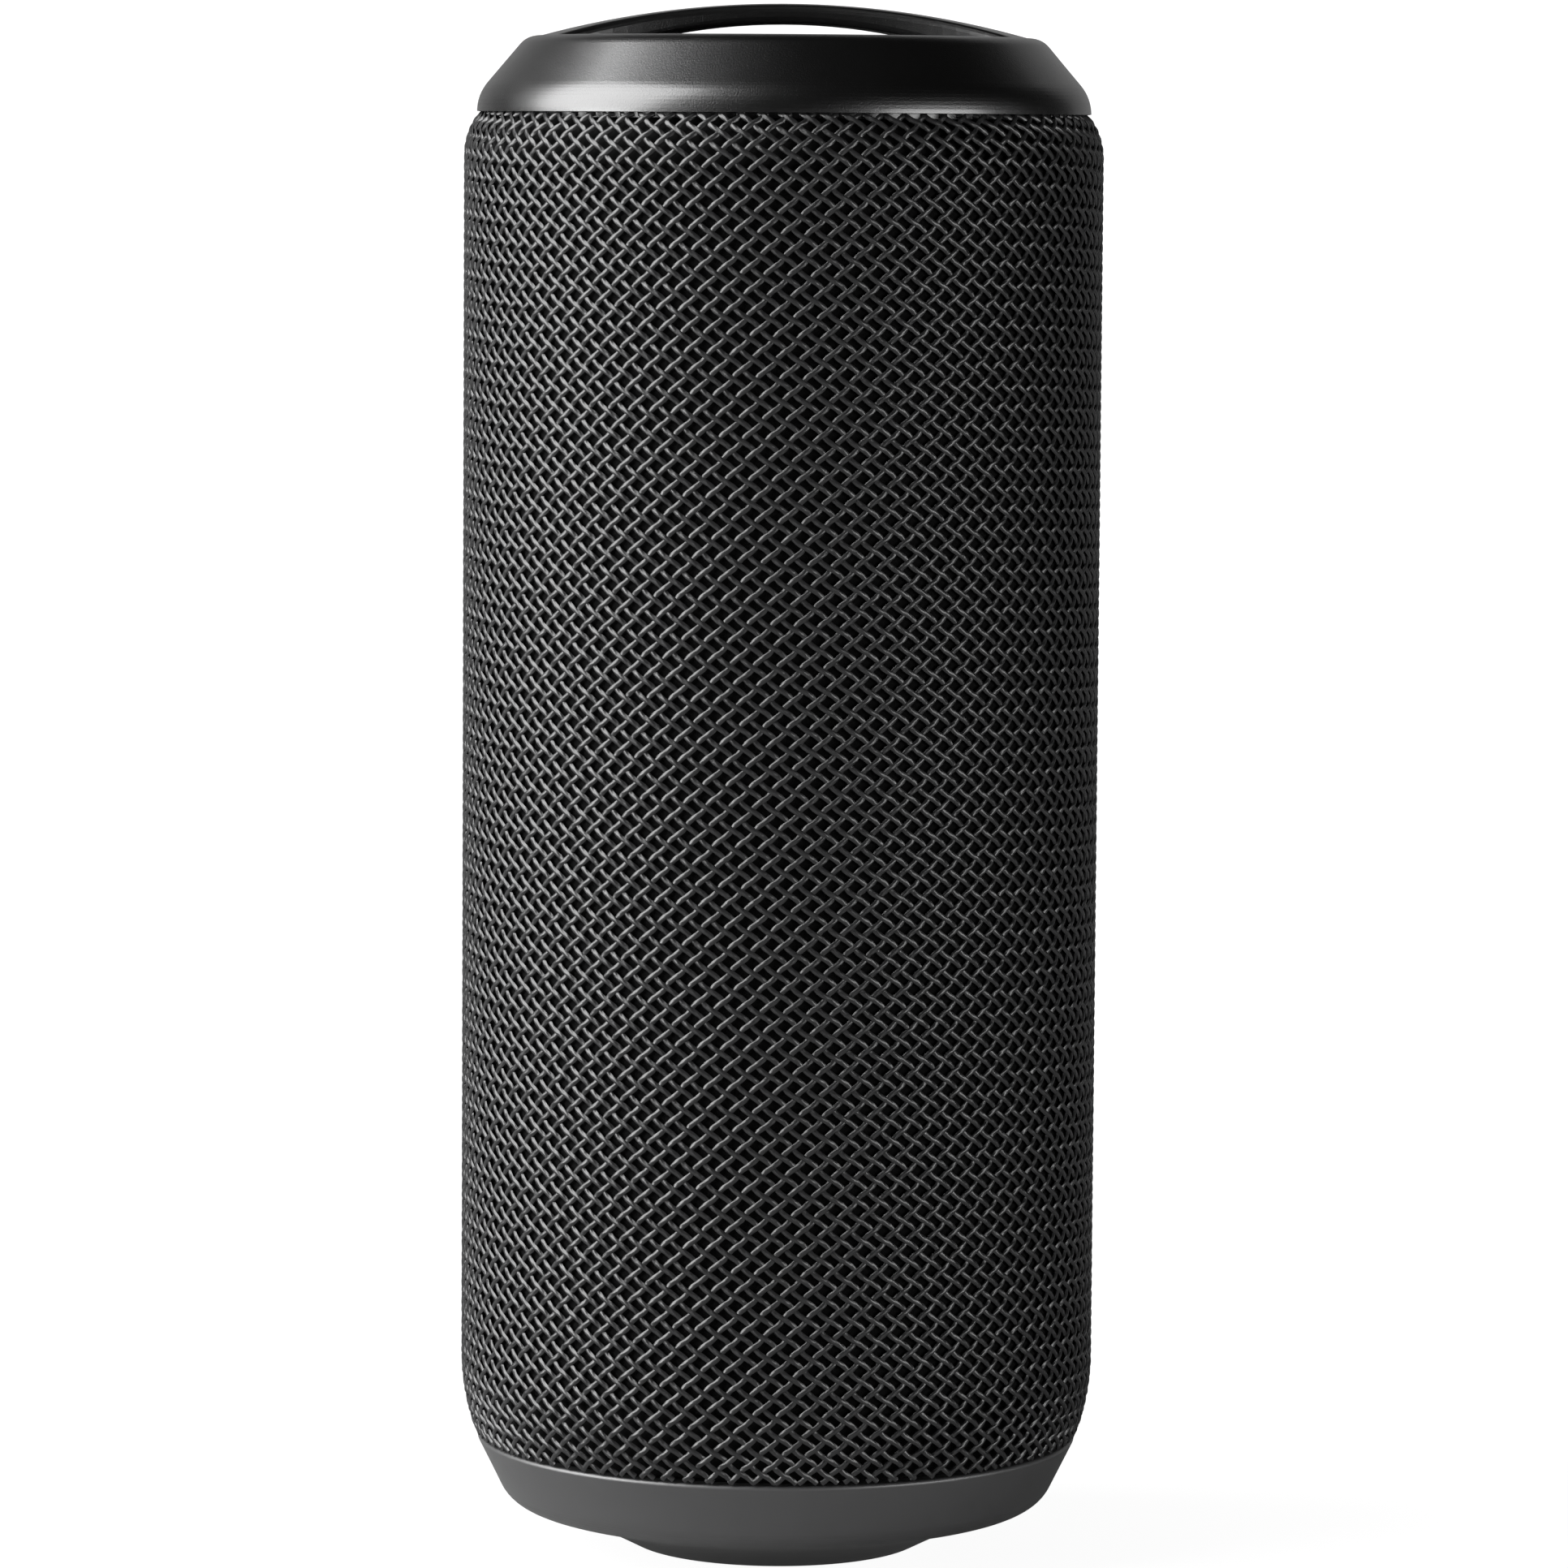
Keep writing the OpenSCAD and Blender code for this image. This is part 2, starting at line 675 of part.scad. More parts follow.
// Places across a section of half width w: how far across, and how far its rounded edge draws back there
function section(w) =
  let (
    flat_w = w - handle_edge,
    side = [for (i = [0 : edge_steps]) let (a = 90 * i / edge_steps)
      [flat_w + handle_edge * cos(a), handle_edge * (1 - sin(a))]]
  )
  concat(
    [for (p = side) [-p[0], p[1]]],
    [for (k = [-1 : 1]) [k * flat_w / 2, 0]],
    reversed(side)
  );

function handle_column(s, y) = let (x = s * sqrt(handle_end * handle_end - y * y)) [x, y, norm([x, y])];

module handle() {
  sections = [for (i = [0 : handle_stations]) let (s = 2 * i / handle_stations - 1)
    [for (p = section(half_width(s * handle_end))) concat(handle_column(s, p[0]), [p[1]])]];
  m = len(sections[0]);
  n = 2 * m;
  points = [for (places = sections) each concat(
    [for (p = places) [p[0], p[1], under_z(p[2]) + p[3]]],
    [for (p = reversed(places)) [p[0], p[1], dome_z(p[2]) - p[3]]]
  )];
  sides = [for (i = [0 : handle_stations - 1], k = [0 : n - 1])
    let (a = i * n + k, b = i * n + (k + 1) % n) each [[a, a + n, b + n], [a, b + n, b]]];
  ends = [for (k = [0 : m - 2]) each [[k, k + 1, n - 2 - k], [k, n - 2 - k, n - 1 - k]]];
  last = handle_stations * n;
  far_ends = [for (t = ends) [last + t[2], last + t[1], last + t[0]]];
  polyhedron(points = points, faces = concat(ends, sides, far_ends));
}

module top_cap() {
  cavity_z = shoulder_z + (cap_r - shoulder_inset - hollow_out) / tan(shoulder_angle);
  skirt_root_z = shoulder_z + (cap_r - shoulder_inset - skirt_in) / tan(shoulder_angle);
  color("#17181a") {
    difference() {
      union() {
        revolve([
          [cap_r, cap_z, cap_lip_round], [cap_r, shoulder_z, edge_round],
          [rim_corner_r, rim_z, rim_round],
          [hollow_r, rim_z, rim_edge_round], [hollow_r, bowl_seat_z], [hollow_out, bowl_seat_z],
          [hollow_out, cavity_z], [skirt_in, skirt_root_z], [skirt_in, cap_skirt_z],
          [skirt_out, cap_skirt_z], [skirt_out, cap_z]
        ]);
        round_the_axis(bowl_screw_angles, bowl_screw_r)
          translate([0, 0, bowl_seat_z]) cylinder(r = bowl_boss_r, h = bowl_screw_l);
      }
      round_the_axis(bowl_screw_angles, bowl_screw_r)
        translate([0, 0, bowl_seat_z - overlap]) cylinder(r = small_screw_r, h = bowl_screw_l);
    }
    handle();
    translate([0, 0, grille_top - flange_h - seat_gap]) mirror([0, 0, 1]) snap_hooks();
  }
}

// ---- Control bowl, keys and control board ----

module control_bowl() {
  flange_out = skirt_in - skirt_gap;
  color("#1b1c1e") difference() {
    union() {
      revolve([
        [0, bowl_floor_z], [hollow_r, bowl_floor_z, bowl_round], [hollow_r, bowl_seat_z - seat_gap],
        [flange_out, bowl_seat_z - seat_gap], [flange_out, bowl_seat_z - seat_gap - bowl_flange_t],
        [hollow_r + bowl_t, bowl_seat_z - seat_gap - bowl_flange_t],
        [hollow_r + bowl_t, bowl_under_z, bowl_round + bowl_t], [0, bowl_under_z]
      ]);
      for (x = [-control_post_x, control_post_x])
        translate([x, 0, control_board_top])
          cylinder(r = control_post_r, h = bowl_floor_z - bowl_t / 2 - control_board_top);
    }
    at_each(key_places)
      translate([0, 0, bowl_under_z - overlap])
        cylinder(r = key_r + moving_gap, h = bowl_t + 2 * overlap);
    translate([0, light_pipe_y, bowl_under_z - overlap])
      cylinder(d = light_pipe_d + 2 * seat_gap, h = bowl_t + 2 * overlap);
    round_the_axis(bowl_screw_angles, bowl_screw_r)
      translate([0, 0, bowl_seat_z - bowl_flange_t - overlap])
        cylinder(r = small_screw_r + screw_fit, h = bowl_flange_t + 2 * overlap);
    for (x = [-control_post_x, control_post_x])
      translate([x, 0, control_board_top - overlap])
        cylinder(r = small_screw_r, h = control_pilot_l + overlap);
  }
}

module key(place, shade) {
  crown = 0.35;
  color(shade) translate([place[0], place[1], 0]) revolve([
    [0, key_post_z], [key_post_r, key_post_z], [key_post_r, key_collar_z], [key_collar_r, key_collar_z],
    [key_collar_r, key_collar_top], [key_r, key_collar_top], [key_r, bowl_floor_z + key_proud, crown],
    [0, bowl_floor_z + key_proud]
  ]);
}

module key_power() { key(key_places[0], "#26272a"); }

module key_pairing() { key(key_places[1], "#26272a"); }

module key_volume_down() { key(key_places[2], "#26272a"); }

module key_play_pause() { key(key_places[3], "#26272a"); }

module key_volume_up() { key(key_places[4], "#26272a"); }

module keypad_seal() {
  color("#3a3b3d") difference() {
    translate([0, 0, seal_z]) cylinder(r = control_board_r - seal_inset, h = seal_t);
    translate([0, 0, seal_z - overlap]) {
      at_each(key_places) cylinder(r = key_post_r + moving_gap, h = seal_t + 2 * overlap);
      translate([0, light_pipe_y, 0])
        cylinder(d = light_pipe_d + 2 * moving_gap, h = seal_t + 2 * overlap);
      for (x = [-control_post_x, control_post_x])
        translate([x, 0, 0]) cylinder(r = control_post_r + seat_gap, h = seal_t + 2 * overlap);
    }
  }
}

module status_light_pipe() {
  pipe_r = light_pipe_d / 2;
  collar_r = pipe_r + light_pipe_collar;
  pipe_z = control_board_top + light_size[2] + seat_gap;
  color("#dfe6ea") translate([0, light_pipe_y, 0]) revolve([
    [0, pipe_z], [pipe_r, pipe_z], [pipe_r, bowl_under_z - light_pipe_collar_h],
    [collar_r, bowl_under_z - light_pipe_collar_h], [collar_r, bowl_under_z - seat_gap],
    [pipe_r, bowl_under_z - seat_gap], [pipe_r, bowl_floor_z], [0, bowl_floor_z]
  ]);
}

module key_switches() {
  color("#8d8f92") at_each(key_places) translate([0, 0, control_board_top]) {
    translate([-switch_w / 2, -switch_w / 2, 0]) cube([switch_w, switch_w, switch_h]);
    cylinder(r = plunger_r, h = plunger_top - control_board_top);
  }
}

module control_board() {
  color("#1f5135") difference() {
    translate([0, 0, control_board_top - board_t]) cylinder(r = control_board_r, h = board_t);
    for (x = [-control_post_x, control_post_x]) translate([x, 0, control_board_top - board_t - overlap])
      cylinder(r = small_screw_r + screw_fit, h = board_t + 2 * overlap);
  }
}

// A board's part, a box that stands on z = 0
module board_part(size) {
  translate([-size[0] / 2, -size[1] / 2, 0]) cube(size);
}

// The light under its pipe, the microphone, the radio chip and the plug socket of the control board
module control_board_parts() {
  color("#2b2c2f") {
    translate([0, 0, control_board_top]) {
      translate([0, light_pipe_y, 0]) board_part(light_size);
      translate([0, microphone_inset - control_board_r, 0]) board_part(microphone_size);
    }
    translate([0, 0, control_board_top - board_t]) mirror([0, 0, 1]) {
      board_part(radio_size);
      translate([0, plug_y, 0]) board_part(plug_size);
    }
  }
}

module bowl_screws() {
  color("#b9bcc0") round_the_axis(bowl_screw_angles, bowl_screw_r)
    translate([0, 0, bowl_seat_z - seat_gap - bowl_flange_t])
      screw(small_screw_r - screw_fit / 2, small_head_r, small_head_h, bowl_flange_t + bowl_screw_grip);
}

// The screws of the control board, driven from below, and those of the main board, driven from above
module board_screws() {
  color("#b9bcc0") {
    for (x = [-control_post_x, control_post_x]) translate([x, 0, control_board_top - board_t])
      screw(small_screw_r - screw_fit / 2, small_head_r, small_head_h, board_t + control_screw_grip);
    round_the_axis(board_post_angles, board_post_r) translate([0, 0, main_board_z]) mirror([0, 0, 1])
      screw(small_screw_r - screw_fit / 2, small_head_r, small_head_h, board_t + board_screw_grip);
  }
}

module top_gasket() {
  color("#2f3033") translate([0, 0, chassis_top]) ring(skirt_out, skirt_in, top_foam_t);
}

// ---- Fabric sleeve and grille frame ----

// The window in the rear that the port bezel fills, as a prism through the rear wall
module port_window(w, h, r) {
  translate([0, 0, port_z]) rotate([-90, 0, 0]) linear_extrude(height = through) rounded_rect(w, h, r);
}

module fabric_sleeve() {
  color("#1c1d1f") difference() {
    rotate_extrude() polygon(concat(skin(0, 0), reversed(skin(sleeve_t, 0))));
    port_window(bezel_out_w + 2 * seat_gap, bezel_out_h + 2 * seat_gap, bezel_round);
  }
}

module grille_frame() {
  d = sleeve_t + sleeve_gap;
  color("#101113") difference() {
    rotate_extrude() polygon(concat(skin(d, grille_end_gap), [
      [flange_r, grille_top], [flange_r, grille_top - flange_h], [grille_in, grille_top - flange_h],
      [grille_in, grille_z + flange_h], [flange_r, grille_z + flange_h], [flange_r, grille_z]
    ]));
    for (row = [0 : grille_rows - 1], column = [0 : grille_columns - 1])
      rotate([0, 0, column * 360 / grille_columns])
        translate([0, overlap - grille_in, window_zone_z + (row + 0.5) * window_pitch]) rotate([90, 0, 0])
          linear_extrude(height = grille_t + 2 * overlap) racetrack(window_w / 2, window_h - window_w);
    port_window(bezel_out_w + 2 * seat_gap, bezel_out_h + 2 * seat_gap, bezel_round);
  }
}

// ---- Acoustic chassis ----

// The barrel with flats for the drivers, as a solid of radius r with its flats at y = +-f
module barrel(r, f, z, h) {
  intersection() {
    translate([0, 0, z]) cylinder(r = r, h = h);
    translate([-through / 2, -f, z]) cube([through, 2 * f, h]);
  }
}

module driver_screw_places() {
  round_the_axis([0 : 90 : 270], mount_screw_r) children();
}

module radiator_screw_places() {
  for (end = [-1, 1]) translate([0, end * radiator_straight / 2, 0])
    round_the_axis([end * 45, end * 135], (radiator_r + radiator_frame_in + roll_land) / 2) children();
}

module mount_pilot_hole() {
  translate([0, 0, -chassis_t - overlap])
    cylinder(r = small_screw_r + screw_fit / 2, h = chassis_t + 2 * overlap);
}

module chassis_shell() {
  cut_h = chassis_t + 2 * overlap;
  difference() {
    union() {
      barrel(chassis_r, flat_y, chassis_z, chassis_h);
      for (z = [chassis_z, chassis_top - chassis_t])
        translate([0, 0, z]) cylinder(r = chassis_r, h = chassis_t);
    }
    barrel(chassis_r - chassis_t, flat_y - chassis_t, chassis_z + chassis_t, chassis_h - 2 * chassis_t);
    for (side = ["front", "rear"]) {
      facing(side, driver_z)
        translate([0, 0, -chassis_t - overlap]) cylinder(r = driver_cutout_r, h = cut_h);
      facing(side, radiator_z) translate([0, 0, -chassis_t - overlap])
        linear_extrude(height = cut_h) racetrack(radiator_cutout_r, radiator_straight);
      facing(side, driver_z) driver_screw_places() mount_pilot_hole();
      facing(side, radiator_z) radiator_screw_places() mount_pilot_hole();
    }
  }
}

module chassis_screw_places() {
  for (x = [-chassis_screw_x, chassis_screw_x], z = chassis_screw_zs)
    translate([x, 0, z]) rotate([-90, 0, 0]) children();
}

// Pedestals that stand on the base core, and their pilot holes
module pedestals(angles) {
  difference() {
    round_the_axis(angles, base_screw_r) translate([0, 0, core_boss_top + seat_gap])
      cylinder(d = pedestal_d, h = chassis_z - core_boss_top + chassis_t / 2);
    round_the_axis(angles, base_screw_r)
      cylinder(r = large_screw_r + screw_fit / 2, h = core_boss_top + pedestal_pilot_l);
  }
}

module chassis_front() {
  half_gap = joint_seal_t / 2;
  color("#232427") {
    difference() {
      union() {
        intersection() {
          chassis_shell();
          translate([-through / 2, -through - half_gap, 0]) cube([through, through, 2 * through]);
        }
        intersection() {
          chassis_screw_places()
            translate([0, 0, -through / 2]) cylinder(d = chassis_boss_d, h = through / 2 - half_gap);
          barrel(chassis_r - chassis_t / 2, flat_y - chassis_t / 2, chassis_z, chassis_h);
        }
      }
      chassis_screw_places() translate([0, 0, -chassis_pilot_l])
        cylinder(r = small_screw_r + screw_fit / 2, h = chassis_pilot_l);
    }
    pedestals([210, 330]);
  }
}

module chassis_rear() {
  half_gap = joint_seal_t / 2;
  color("#232427") {
    difference() {
      union() {
        intersection() {
          chassis_shell();
          translate([-through / 2, half_gap, 0]) cube([through, through, 2 * through]);
        }
        intersection() {
          chassis_screw_places()
            translate([0, 0, half_gap]) cylinder(d = chassis_boss_d, h = through / 2);
          barrel(chassis_r - chassis_t / 2, flat_y - chassis_t / 2, chassis_z, chassis_h);
        }
      }
      chassis_screw_places() cylinder(r = small_screw_r + screw_fit, h = chassis_screw_seat + overlap);
      chassis_screw_places()
        translate([0, 0, chassis_screw_seat]) cylinder(r = small_head_r + head_gap, h = through / 2);
    }
    pedestals([90]);
  }
}

// The seal in the plane between the halves: a flat frame
module chassis_gasket() {
  color("#4a4b4e") difference() {
    translate([-chassis_r, -joint_seal_t / 2, chassis_z]) cube([2 * chassis_r, joint_seal_t, chassis_h]);
    translate([-chassis_r + joint_seal_w, -through / 2, chassis_z + joint_seal_w])
      cube([2 * (chassis_r - joint_seal_w), through, chassis_h - 2 * joint_seal_w]);
  }
}

module chassis_screws() {
  color("#b9bcc0") chassis_screw_places() translate([0, 0, chassis_screw_seat]) mirror([0, 0, 1])
    screw(small_screw_r, small_head_r, small_head_h, chassis_screw_l);
}

// ---- Drivers, each modelled facing +z ----

// The half-round roll of a surround, with a glued land on each side of it
module roll_profile(mid, r, in_z, out_z) {
  start = asin(roll_t / r);
  polygon(concat(
    [[mid - r - roll_land, in_z + roll_t], [mid - r - roll_land, in_z], [mid - r + roll_t, in_z]],
    [for (i = [0 : 2 * arc_steps]) let (a = 180 - 180 * i / (2 * arc_steps))
      [mid, out_z] + (r - roll_t) * [cos(a), sin(a)]],
    [[mid + r + roll_land, out_z], [mid + r + roll_land, out_z + roll_t]],
    [for (i = [0 : 2 * arc_steps]) let (a = start + (180 - 2 * start) * i / (2 * arc_steps))
      [mid, out_z] + r * [cos(a), sin(a)]],
    [[mid - r, in_z + roll_t]]
  ));
}

module driver_basket() {
  window_angles = [45 : 90 : 315];
  side_z = basket_z + basket_floor_t;
  foot_in = basket_foot_r - basket_wall;
  bore_r = plate_bore_r + basket_bore_gap;
  difference() {
    revolve([
      [driver_r, flange_z], [driver_r, flange_top], [basket_in, flange_top], [basket_in, flange_z],
      [basket_foot_r, spider_z], [foot_in - spider_ledge, spider_z],
      [foot_in - spider_ledge, spider_z - spider_ledge_t], [foot_in, spider_z - spider_ledge_root],
      [foot_in, side_z], [bore_r, side_z], [bore_r, basket_z], [basket_foot_r, basket_z],
      [basket_foot_r + basket_flare, spider_z], [basket_in + basket_wall, flange_z]
    ]);
    for (a = window_angles) rotate([0, 0, a])
      translate([basket_foot_r - basket_window_in, -basket_window_w / 2, spider_z + basket_bar])
        cube([through, basket_window_w, flange_z - spider_z - 2 * basket_bar]);
    driver_screw_places() translate([0, 0, flange_z - overlap])
      cylinder(r = small_screw_r + screw_fit, h = driver_flange_t + 2 * overlap);
  }
}

module driver_top_plate() {
  translate([0, 0, basket_z - top_plate_t]) ring(motor_r, plate_bore_r, top_plate_t);
}

module driver_magnet() {
  translate([0, 0, magnet_z]) ring(motor_r, magnet_bore_r, magnet_t);
}

module driver_yoke() {
  revolve([
    [0, magnet_z - back_plate_t], [motor_r, magnet_z - back_plate_t, yoke_round], [motor_r, magnet_z],
    [pole_r, magnet_z], [pole_r, basket_z, pole_round], [0, basket_z]
  ]);
}

module driver_voice_coil() {
  translate([0, 0, coil_top - coil_l]) ring(coil_out, coil_in, coil_l);
}

// The corrugated suspension from the coil to the basket's ledge
module driver_spider() {
  inner = coil_out + land_gap;
  outer = basket_foot_r - basket_wall + spider_land;
  steps = spider_waves * arc_steps;
  mid_z = spider_z + spider_t / 2 + land_gap;
  wave = [for (i = [0 : steps])
    let (s = i / steps, fade = max(0, min(1, spider_fade_in * s, spider_fade_out * (spider_flat - s))))
    [inner + (outer - inner) * s, mid_z + fade * spider_wave_h * sin(360 * spider_waves * s)]];
  rotate_extrude() polygon(concat(
    [for (p = wave) p - [0, spider_t / 2]],
    [for (p = reversed(wave)) p + [0, spider_t / 2]]
  ));
}

module driver_cone() {
  neck_r = coil_out + land_gap;
  neck_z = coil_top - cone_neck_h;
  revolve([
    [neck_r, neck_z], [neck_r + cone_t, neck_z], [cone_r - cone_lip, cone_rim_z - cone_t],
    [cone_r, cone_rim_z - cone_t], [cone_r, cone_rim_z], [cone_r - cone_lip, cone_rim_z],
    [neck_r, neck_z + cone_t]
  ]);
}

module driver_surround() {
  rotate_extrude()
    roll_profile(driver_roll_mid, driver_roll_r, cone_rim_z + land_gap, flange_top + land_gap);
}

// A shallow dome glued on the cone over the coil
module driver_dust_cap() {
  edge_r = dust_cap_d / 2;
  ball = (edge_r * edge_r + dust_cap_rise * dust_cap_rise) / (2 * dust_cap_rise);
  neck_z = coil_top - cone_neck_h;
  lean = (cone_r - cone_lip - coil_out) / (cone_rim_z - neck_z);
  seat_z = neck_z + cone_t + (edge_r - coil_out) / lean + seat_gap;
  translate([0, 0, seat_z]) intersection() {
    translate([0, 0, dust_cap_rise - ball]) difference() {
      sphere(r = ball);
      sphere(r = ball - dust_cap_t);
    }
    cylinder(r = ball, h = dust_cap_rise + overlap);
  }
}

module front_driver_basket() { color("#3b3d40") facing("front", driver_z) driver_basket(); }

module front_driver_top_plate() { color("#a7aaad") facing("front", driver_z) driver_top_plate(); }

module front_driver_magnet() { color("#2a2b2d") facing("front", driver_z) driver_magnet(); }

module front_driver_yoke() { color("#a7aaad") facing("front", driver_z) driver_yoke(); }

module front_driver_voice_coil() { color("#b06a2c") facing("front", driver_z) driver_voice_coil(); }

module front_driver_spider() { color("#b58f3a") facing("front", driver_z) driver_spider(); }

module front_driver_cone() { color("#1d1e20") facing("front", driver_z) driver_cone(); }

module front_driver_surround() { color("#141516") facing("front", driver_z) driver_surround(); }

module front_driver_dust_cap() { color("#222326") facing("front", driver_z) driver_dust_cap(); }

module rear_driver_basket() { color("#3b3d40") facing("rear", driver_z) driver_basket(); }

module rear_driver_top_plate() { color("#a7aaad") facing("rear", driver_z) driver_top_plate(); }

module rear_driver_magnet() { color("#2a2b2d") facing("rear", driver_z) driver_magnet(); }

module rear_driver_yoke() { color("#a7aaad") facing("rear", driver_z) driver_yoke(); }

module rear_driver_voice_coil() { color("#b06a2c") facing("rear", driver_z) driver_voice_coil(); }

module rear_driver_spider() { color("#b58f3a") facing("rear", driver_z) driver_spider(); }

module rear_driver_cone() { color("#1d1e20") facing("rear", driver_z) driver_cone(); }

module rear_driver_surround() { color("#141516") facing("rear", driver_z) driver_surround(); }

module rear_driver_dust_cap() { color("#222326") facing("rear", driver_z) driver_dust_cap(); }

// ---- Passive radiators, each modelled facing +z ----

module radiator_frame() {
  difference() {
    translate([0, 0, mount_seal_t]) linear_extrude(height = radiator_frame_t) difference() {
      racetrack(radiator_r, radiator_straight);
      racetrack(radiator_frame_in, radiator_straight);
    }
    radiator_screw_places()
      cylinder(r = small_screw_r + screw_fit, h = radiator_frame_top + overlap);
  }
}

module radiator_surround() {
  racetrack_sweep(radiator_straight)
    roll_profile(radiator_roll_mid, radiator_roll_r, radiator_plate_z + radiator_plate_t + land_gap,
      radiator_frame_top + land_gap);
}

module radiator_plate() {
  translate([0, 0, radiator_plate_z]) {
    linear_extrude(height = radiator_plate_t) racetrack(radiator_plate_r, radiator_straight);
    translate([0, 0, -weight_back]) linear_extrude(height = radiator_plate_t + weight_back + weight_front)
      racetrack(radiator_plate_r - weight_inset, radiator_straight);
  }
}

module front_radiator_frame() { color("#303235") facing("front", radiator_z) radiator_frame(); }

module front_radiator_surround() { color("#141516") facing("front", radiator_z) radiator_surround(); }

module front_radiator_plate() { color("#3f4246") facing("front", radiator_z) radiator_plate(); }

module rear_radiator_frame() { color("#303235") facing("rear", radiator_z) radiator_frame(); }

module rear_radiator_surround() { color("#141516") facing("rear", radiator_z) radiator_surround(); }

module rear_radiator_plate() { color("#3f4246") facing("rear", radiator_z) radiator_plate(); }

// The foam seals under both drivers and both radiators
module mount_gaskets() {
  color("#4a4b4e") for (side = ["front", "rear"]) {
    facing(side, driver_z) difference() {
      ring(driver_r, driver_cutout_r, mount_seal_t);
      driver_screw_places() translate([0, 0, -overlap])
        cylinder(r = small_screw_r + screw_fit, h = mount_seal_t + 2 * overlap);
    }
    facing(side, radiator_z) difference() {
      linear_extrude(height = mount_seal_t) difference() {
        racetrack(radiator_r, radiator_straight);
        racetrack(radiator_cutout_r, radiator_straight);
      }
      radiator_screw_places() translate([0, 0, -overlap])
        cylinder(r = small_screw_r + screw_fit, h = mount_seal_t + 2 * overlap);
    }
  }
}

module mount_screws() {
  grip = mount_seal_t + chassis_t - mount_screw_short;
  color("#b9bcc0") for (side = ["front", "rear"]) {
    facing(side, driver_z) driver_screw_places() translate([0, 0, flange_top]) mirror([0, 0, 1])
      screw(small_screw_r, small_head_r, small_head_h, driver_flange_t + grip);
    facing(side, radiator_z) radiator_screw_places()
      translate([0, 0, radiator_frame_top]) mirror([0, 0, 1])
        screw(small_screw_r, small_head_r, small_head_h, radiator_frame_t + grip);
  }
}

// ---- Battery and main board ----

module battery_cells() {
  nub_h = 0.8;
  crimp = 0.4;
  color("#2f6f8f") for (x = [-cell_x, cell_x]) translate([x, 0, cell_z]) revolve([
    [0, 0], [cell_r, 0, crimp], [cell_r, cell_l - nub_h, crimp], [cell_r / 3, cell_l - nub_h],
    [cell_r / 3, cell_l], [0, cell_l]
  ]);
}

// A back plate between the chassis bosses, with a shelf, an end stop and two saddles for the cells
module battery_tray() {
  half_w = chassis_screw_x - chassis_boss_d / 2 - tray_side_gap;
  shelf_w = 2 * (cell_x + cell_r);
  tray_z = chassis_z + chassis_t + seat_gap;
  shelf_l = cell_r + tray_y + tray_t / 2;
  color("#34363a") {
    translate([-half_w, tray_y, tray_z]) cube([2 * half_w, tray_t, tray_top - tray_z]);
    translate([-shelf_w / 2, -cell_r, tray_z]) cube([shelf_w, shelf_l, cell_z - seat_gap - tray_z]);
    translate([-shelf_w / 2, -cell_r / 2, cell_z + cell_l + seat_gap])
      cube([shelf_w, cell_r / 2 + tray_y + tray_t / 2, tray_top - cell_z - cell_l - seat_gap]);
    for (z = [cell_z + saddle_inset, cell_z + cell_l - saddle_inset - saddle_h]) difference() {
      translate([-shelf_w / 2, 0, z]) cube([shelf_w, tray_y + tray_t / 2, saddle_h]);
      for (x = [-cell_x, cell_x]) translate([x, 0, z - overlap])
        cylinder(r = cell_r + seat_gap, h = saddle_h + 2 * overlap);
    }
  }
}

module main_board() {
  color("#1f5135") difference() {
    intersection() {
      translate([0, 0, main_board_under]) cylinder(r = main_board_r, h = board_t);
      translate([-through / 2, main_board_rear - through, main_board_under])
        cube([through, through, board_t]);
    }
    round_the_axis(base_screw_angles, base_screw_r)
      translate([0, 0, main_board_under - overlap])
        cylinder(d = pedestal_d + 2 * moving_gap, h = board_t + 2 * overlap);
    round_the_axis(board_post_angles, board_post_r)
      translate([0, 0, main_board_under - overlap])
        cylinder(r = small_screw_r + screw_fit, h = board_t + 2 * overlap);
  }
}

function on_main_board(part) = (main_board_r - part[1]) * [cos(part[0]), sin(part[0])];

module main_board_parts() {
  color("#9a9c9f") translate([0, 0, main_board_z]) {
    for (part = main_board_boxes)
      translate(on_main_board(part)) board_part([part[2], part[3], part[4]]);
    for (part = main_board_cans) translate(on_main_board(part)) cylinder(r = part[2], h = part[3]);
  }
}

// ---- Ports ----

// A slot with round ends, a hair short of half circles so that its ends keep a flat
module port_slot(w, h) {
  rounded_rect(w, h, h / 2 - slot_flat);
}

module usb_c_socket() {
  tongue_l = usb_l - tongue_in - usb_back_t / 2;
  stand_h = port_z - usb_h / 2 + usb_wall / 2 - main_board_z;
  color("#c3c6c9") {
    translate([usb_x, pocket_y, port_z]) rotate([90, 0, 0]) {
      linear_extrude(height = usb_l) difference() {
        port_slot(usb_w, usb_h);
        port_slot(usb_w - 2 * usb_wall, usb_h - 2 * usb_wall);
      }
      translate([0, 0, usb_l - usb_back_t])
        linear_extrude(height = usb_back_t) port_slot(usb_w - usb_wall, usb_h - usb_wall);
      translate([-tongue_w / 2, -tongue_h / 2, tongue_in]) cube([tongue_w, tongue_h, tongue_l]);
    }
    translate([usb_x - usb_w / 2 + usb_stand_inset, pocket_y - usb_l, main_board_z])
      cube([usb_w - 2 * usb_stand_inset, usb_l - pocket_floor_t - usb_stand_inset, stand_h]);
  }
}

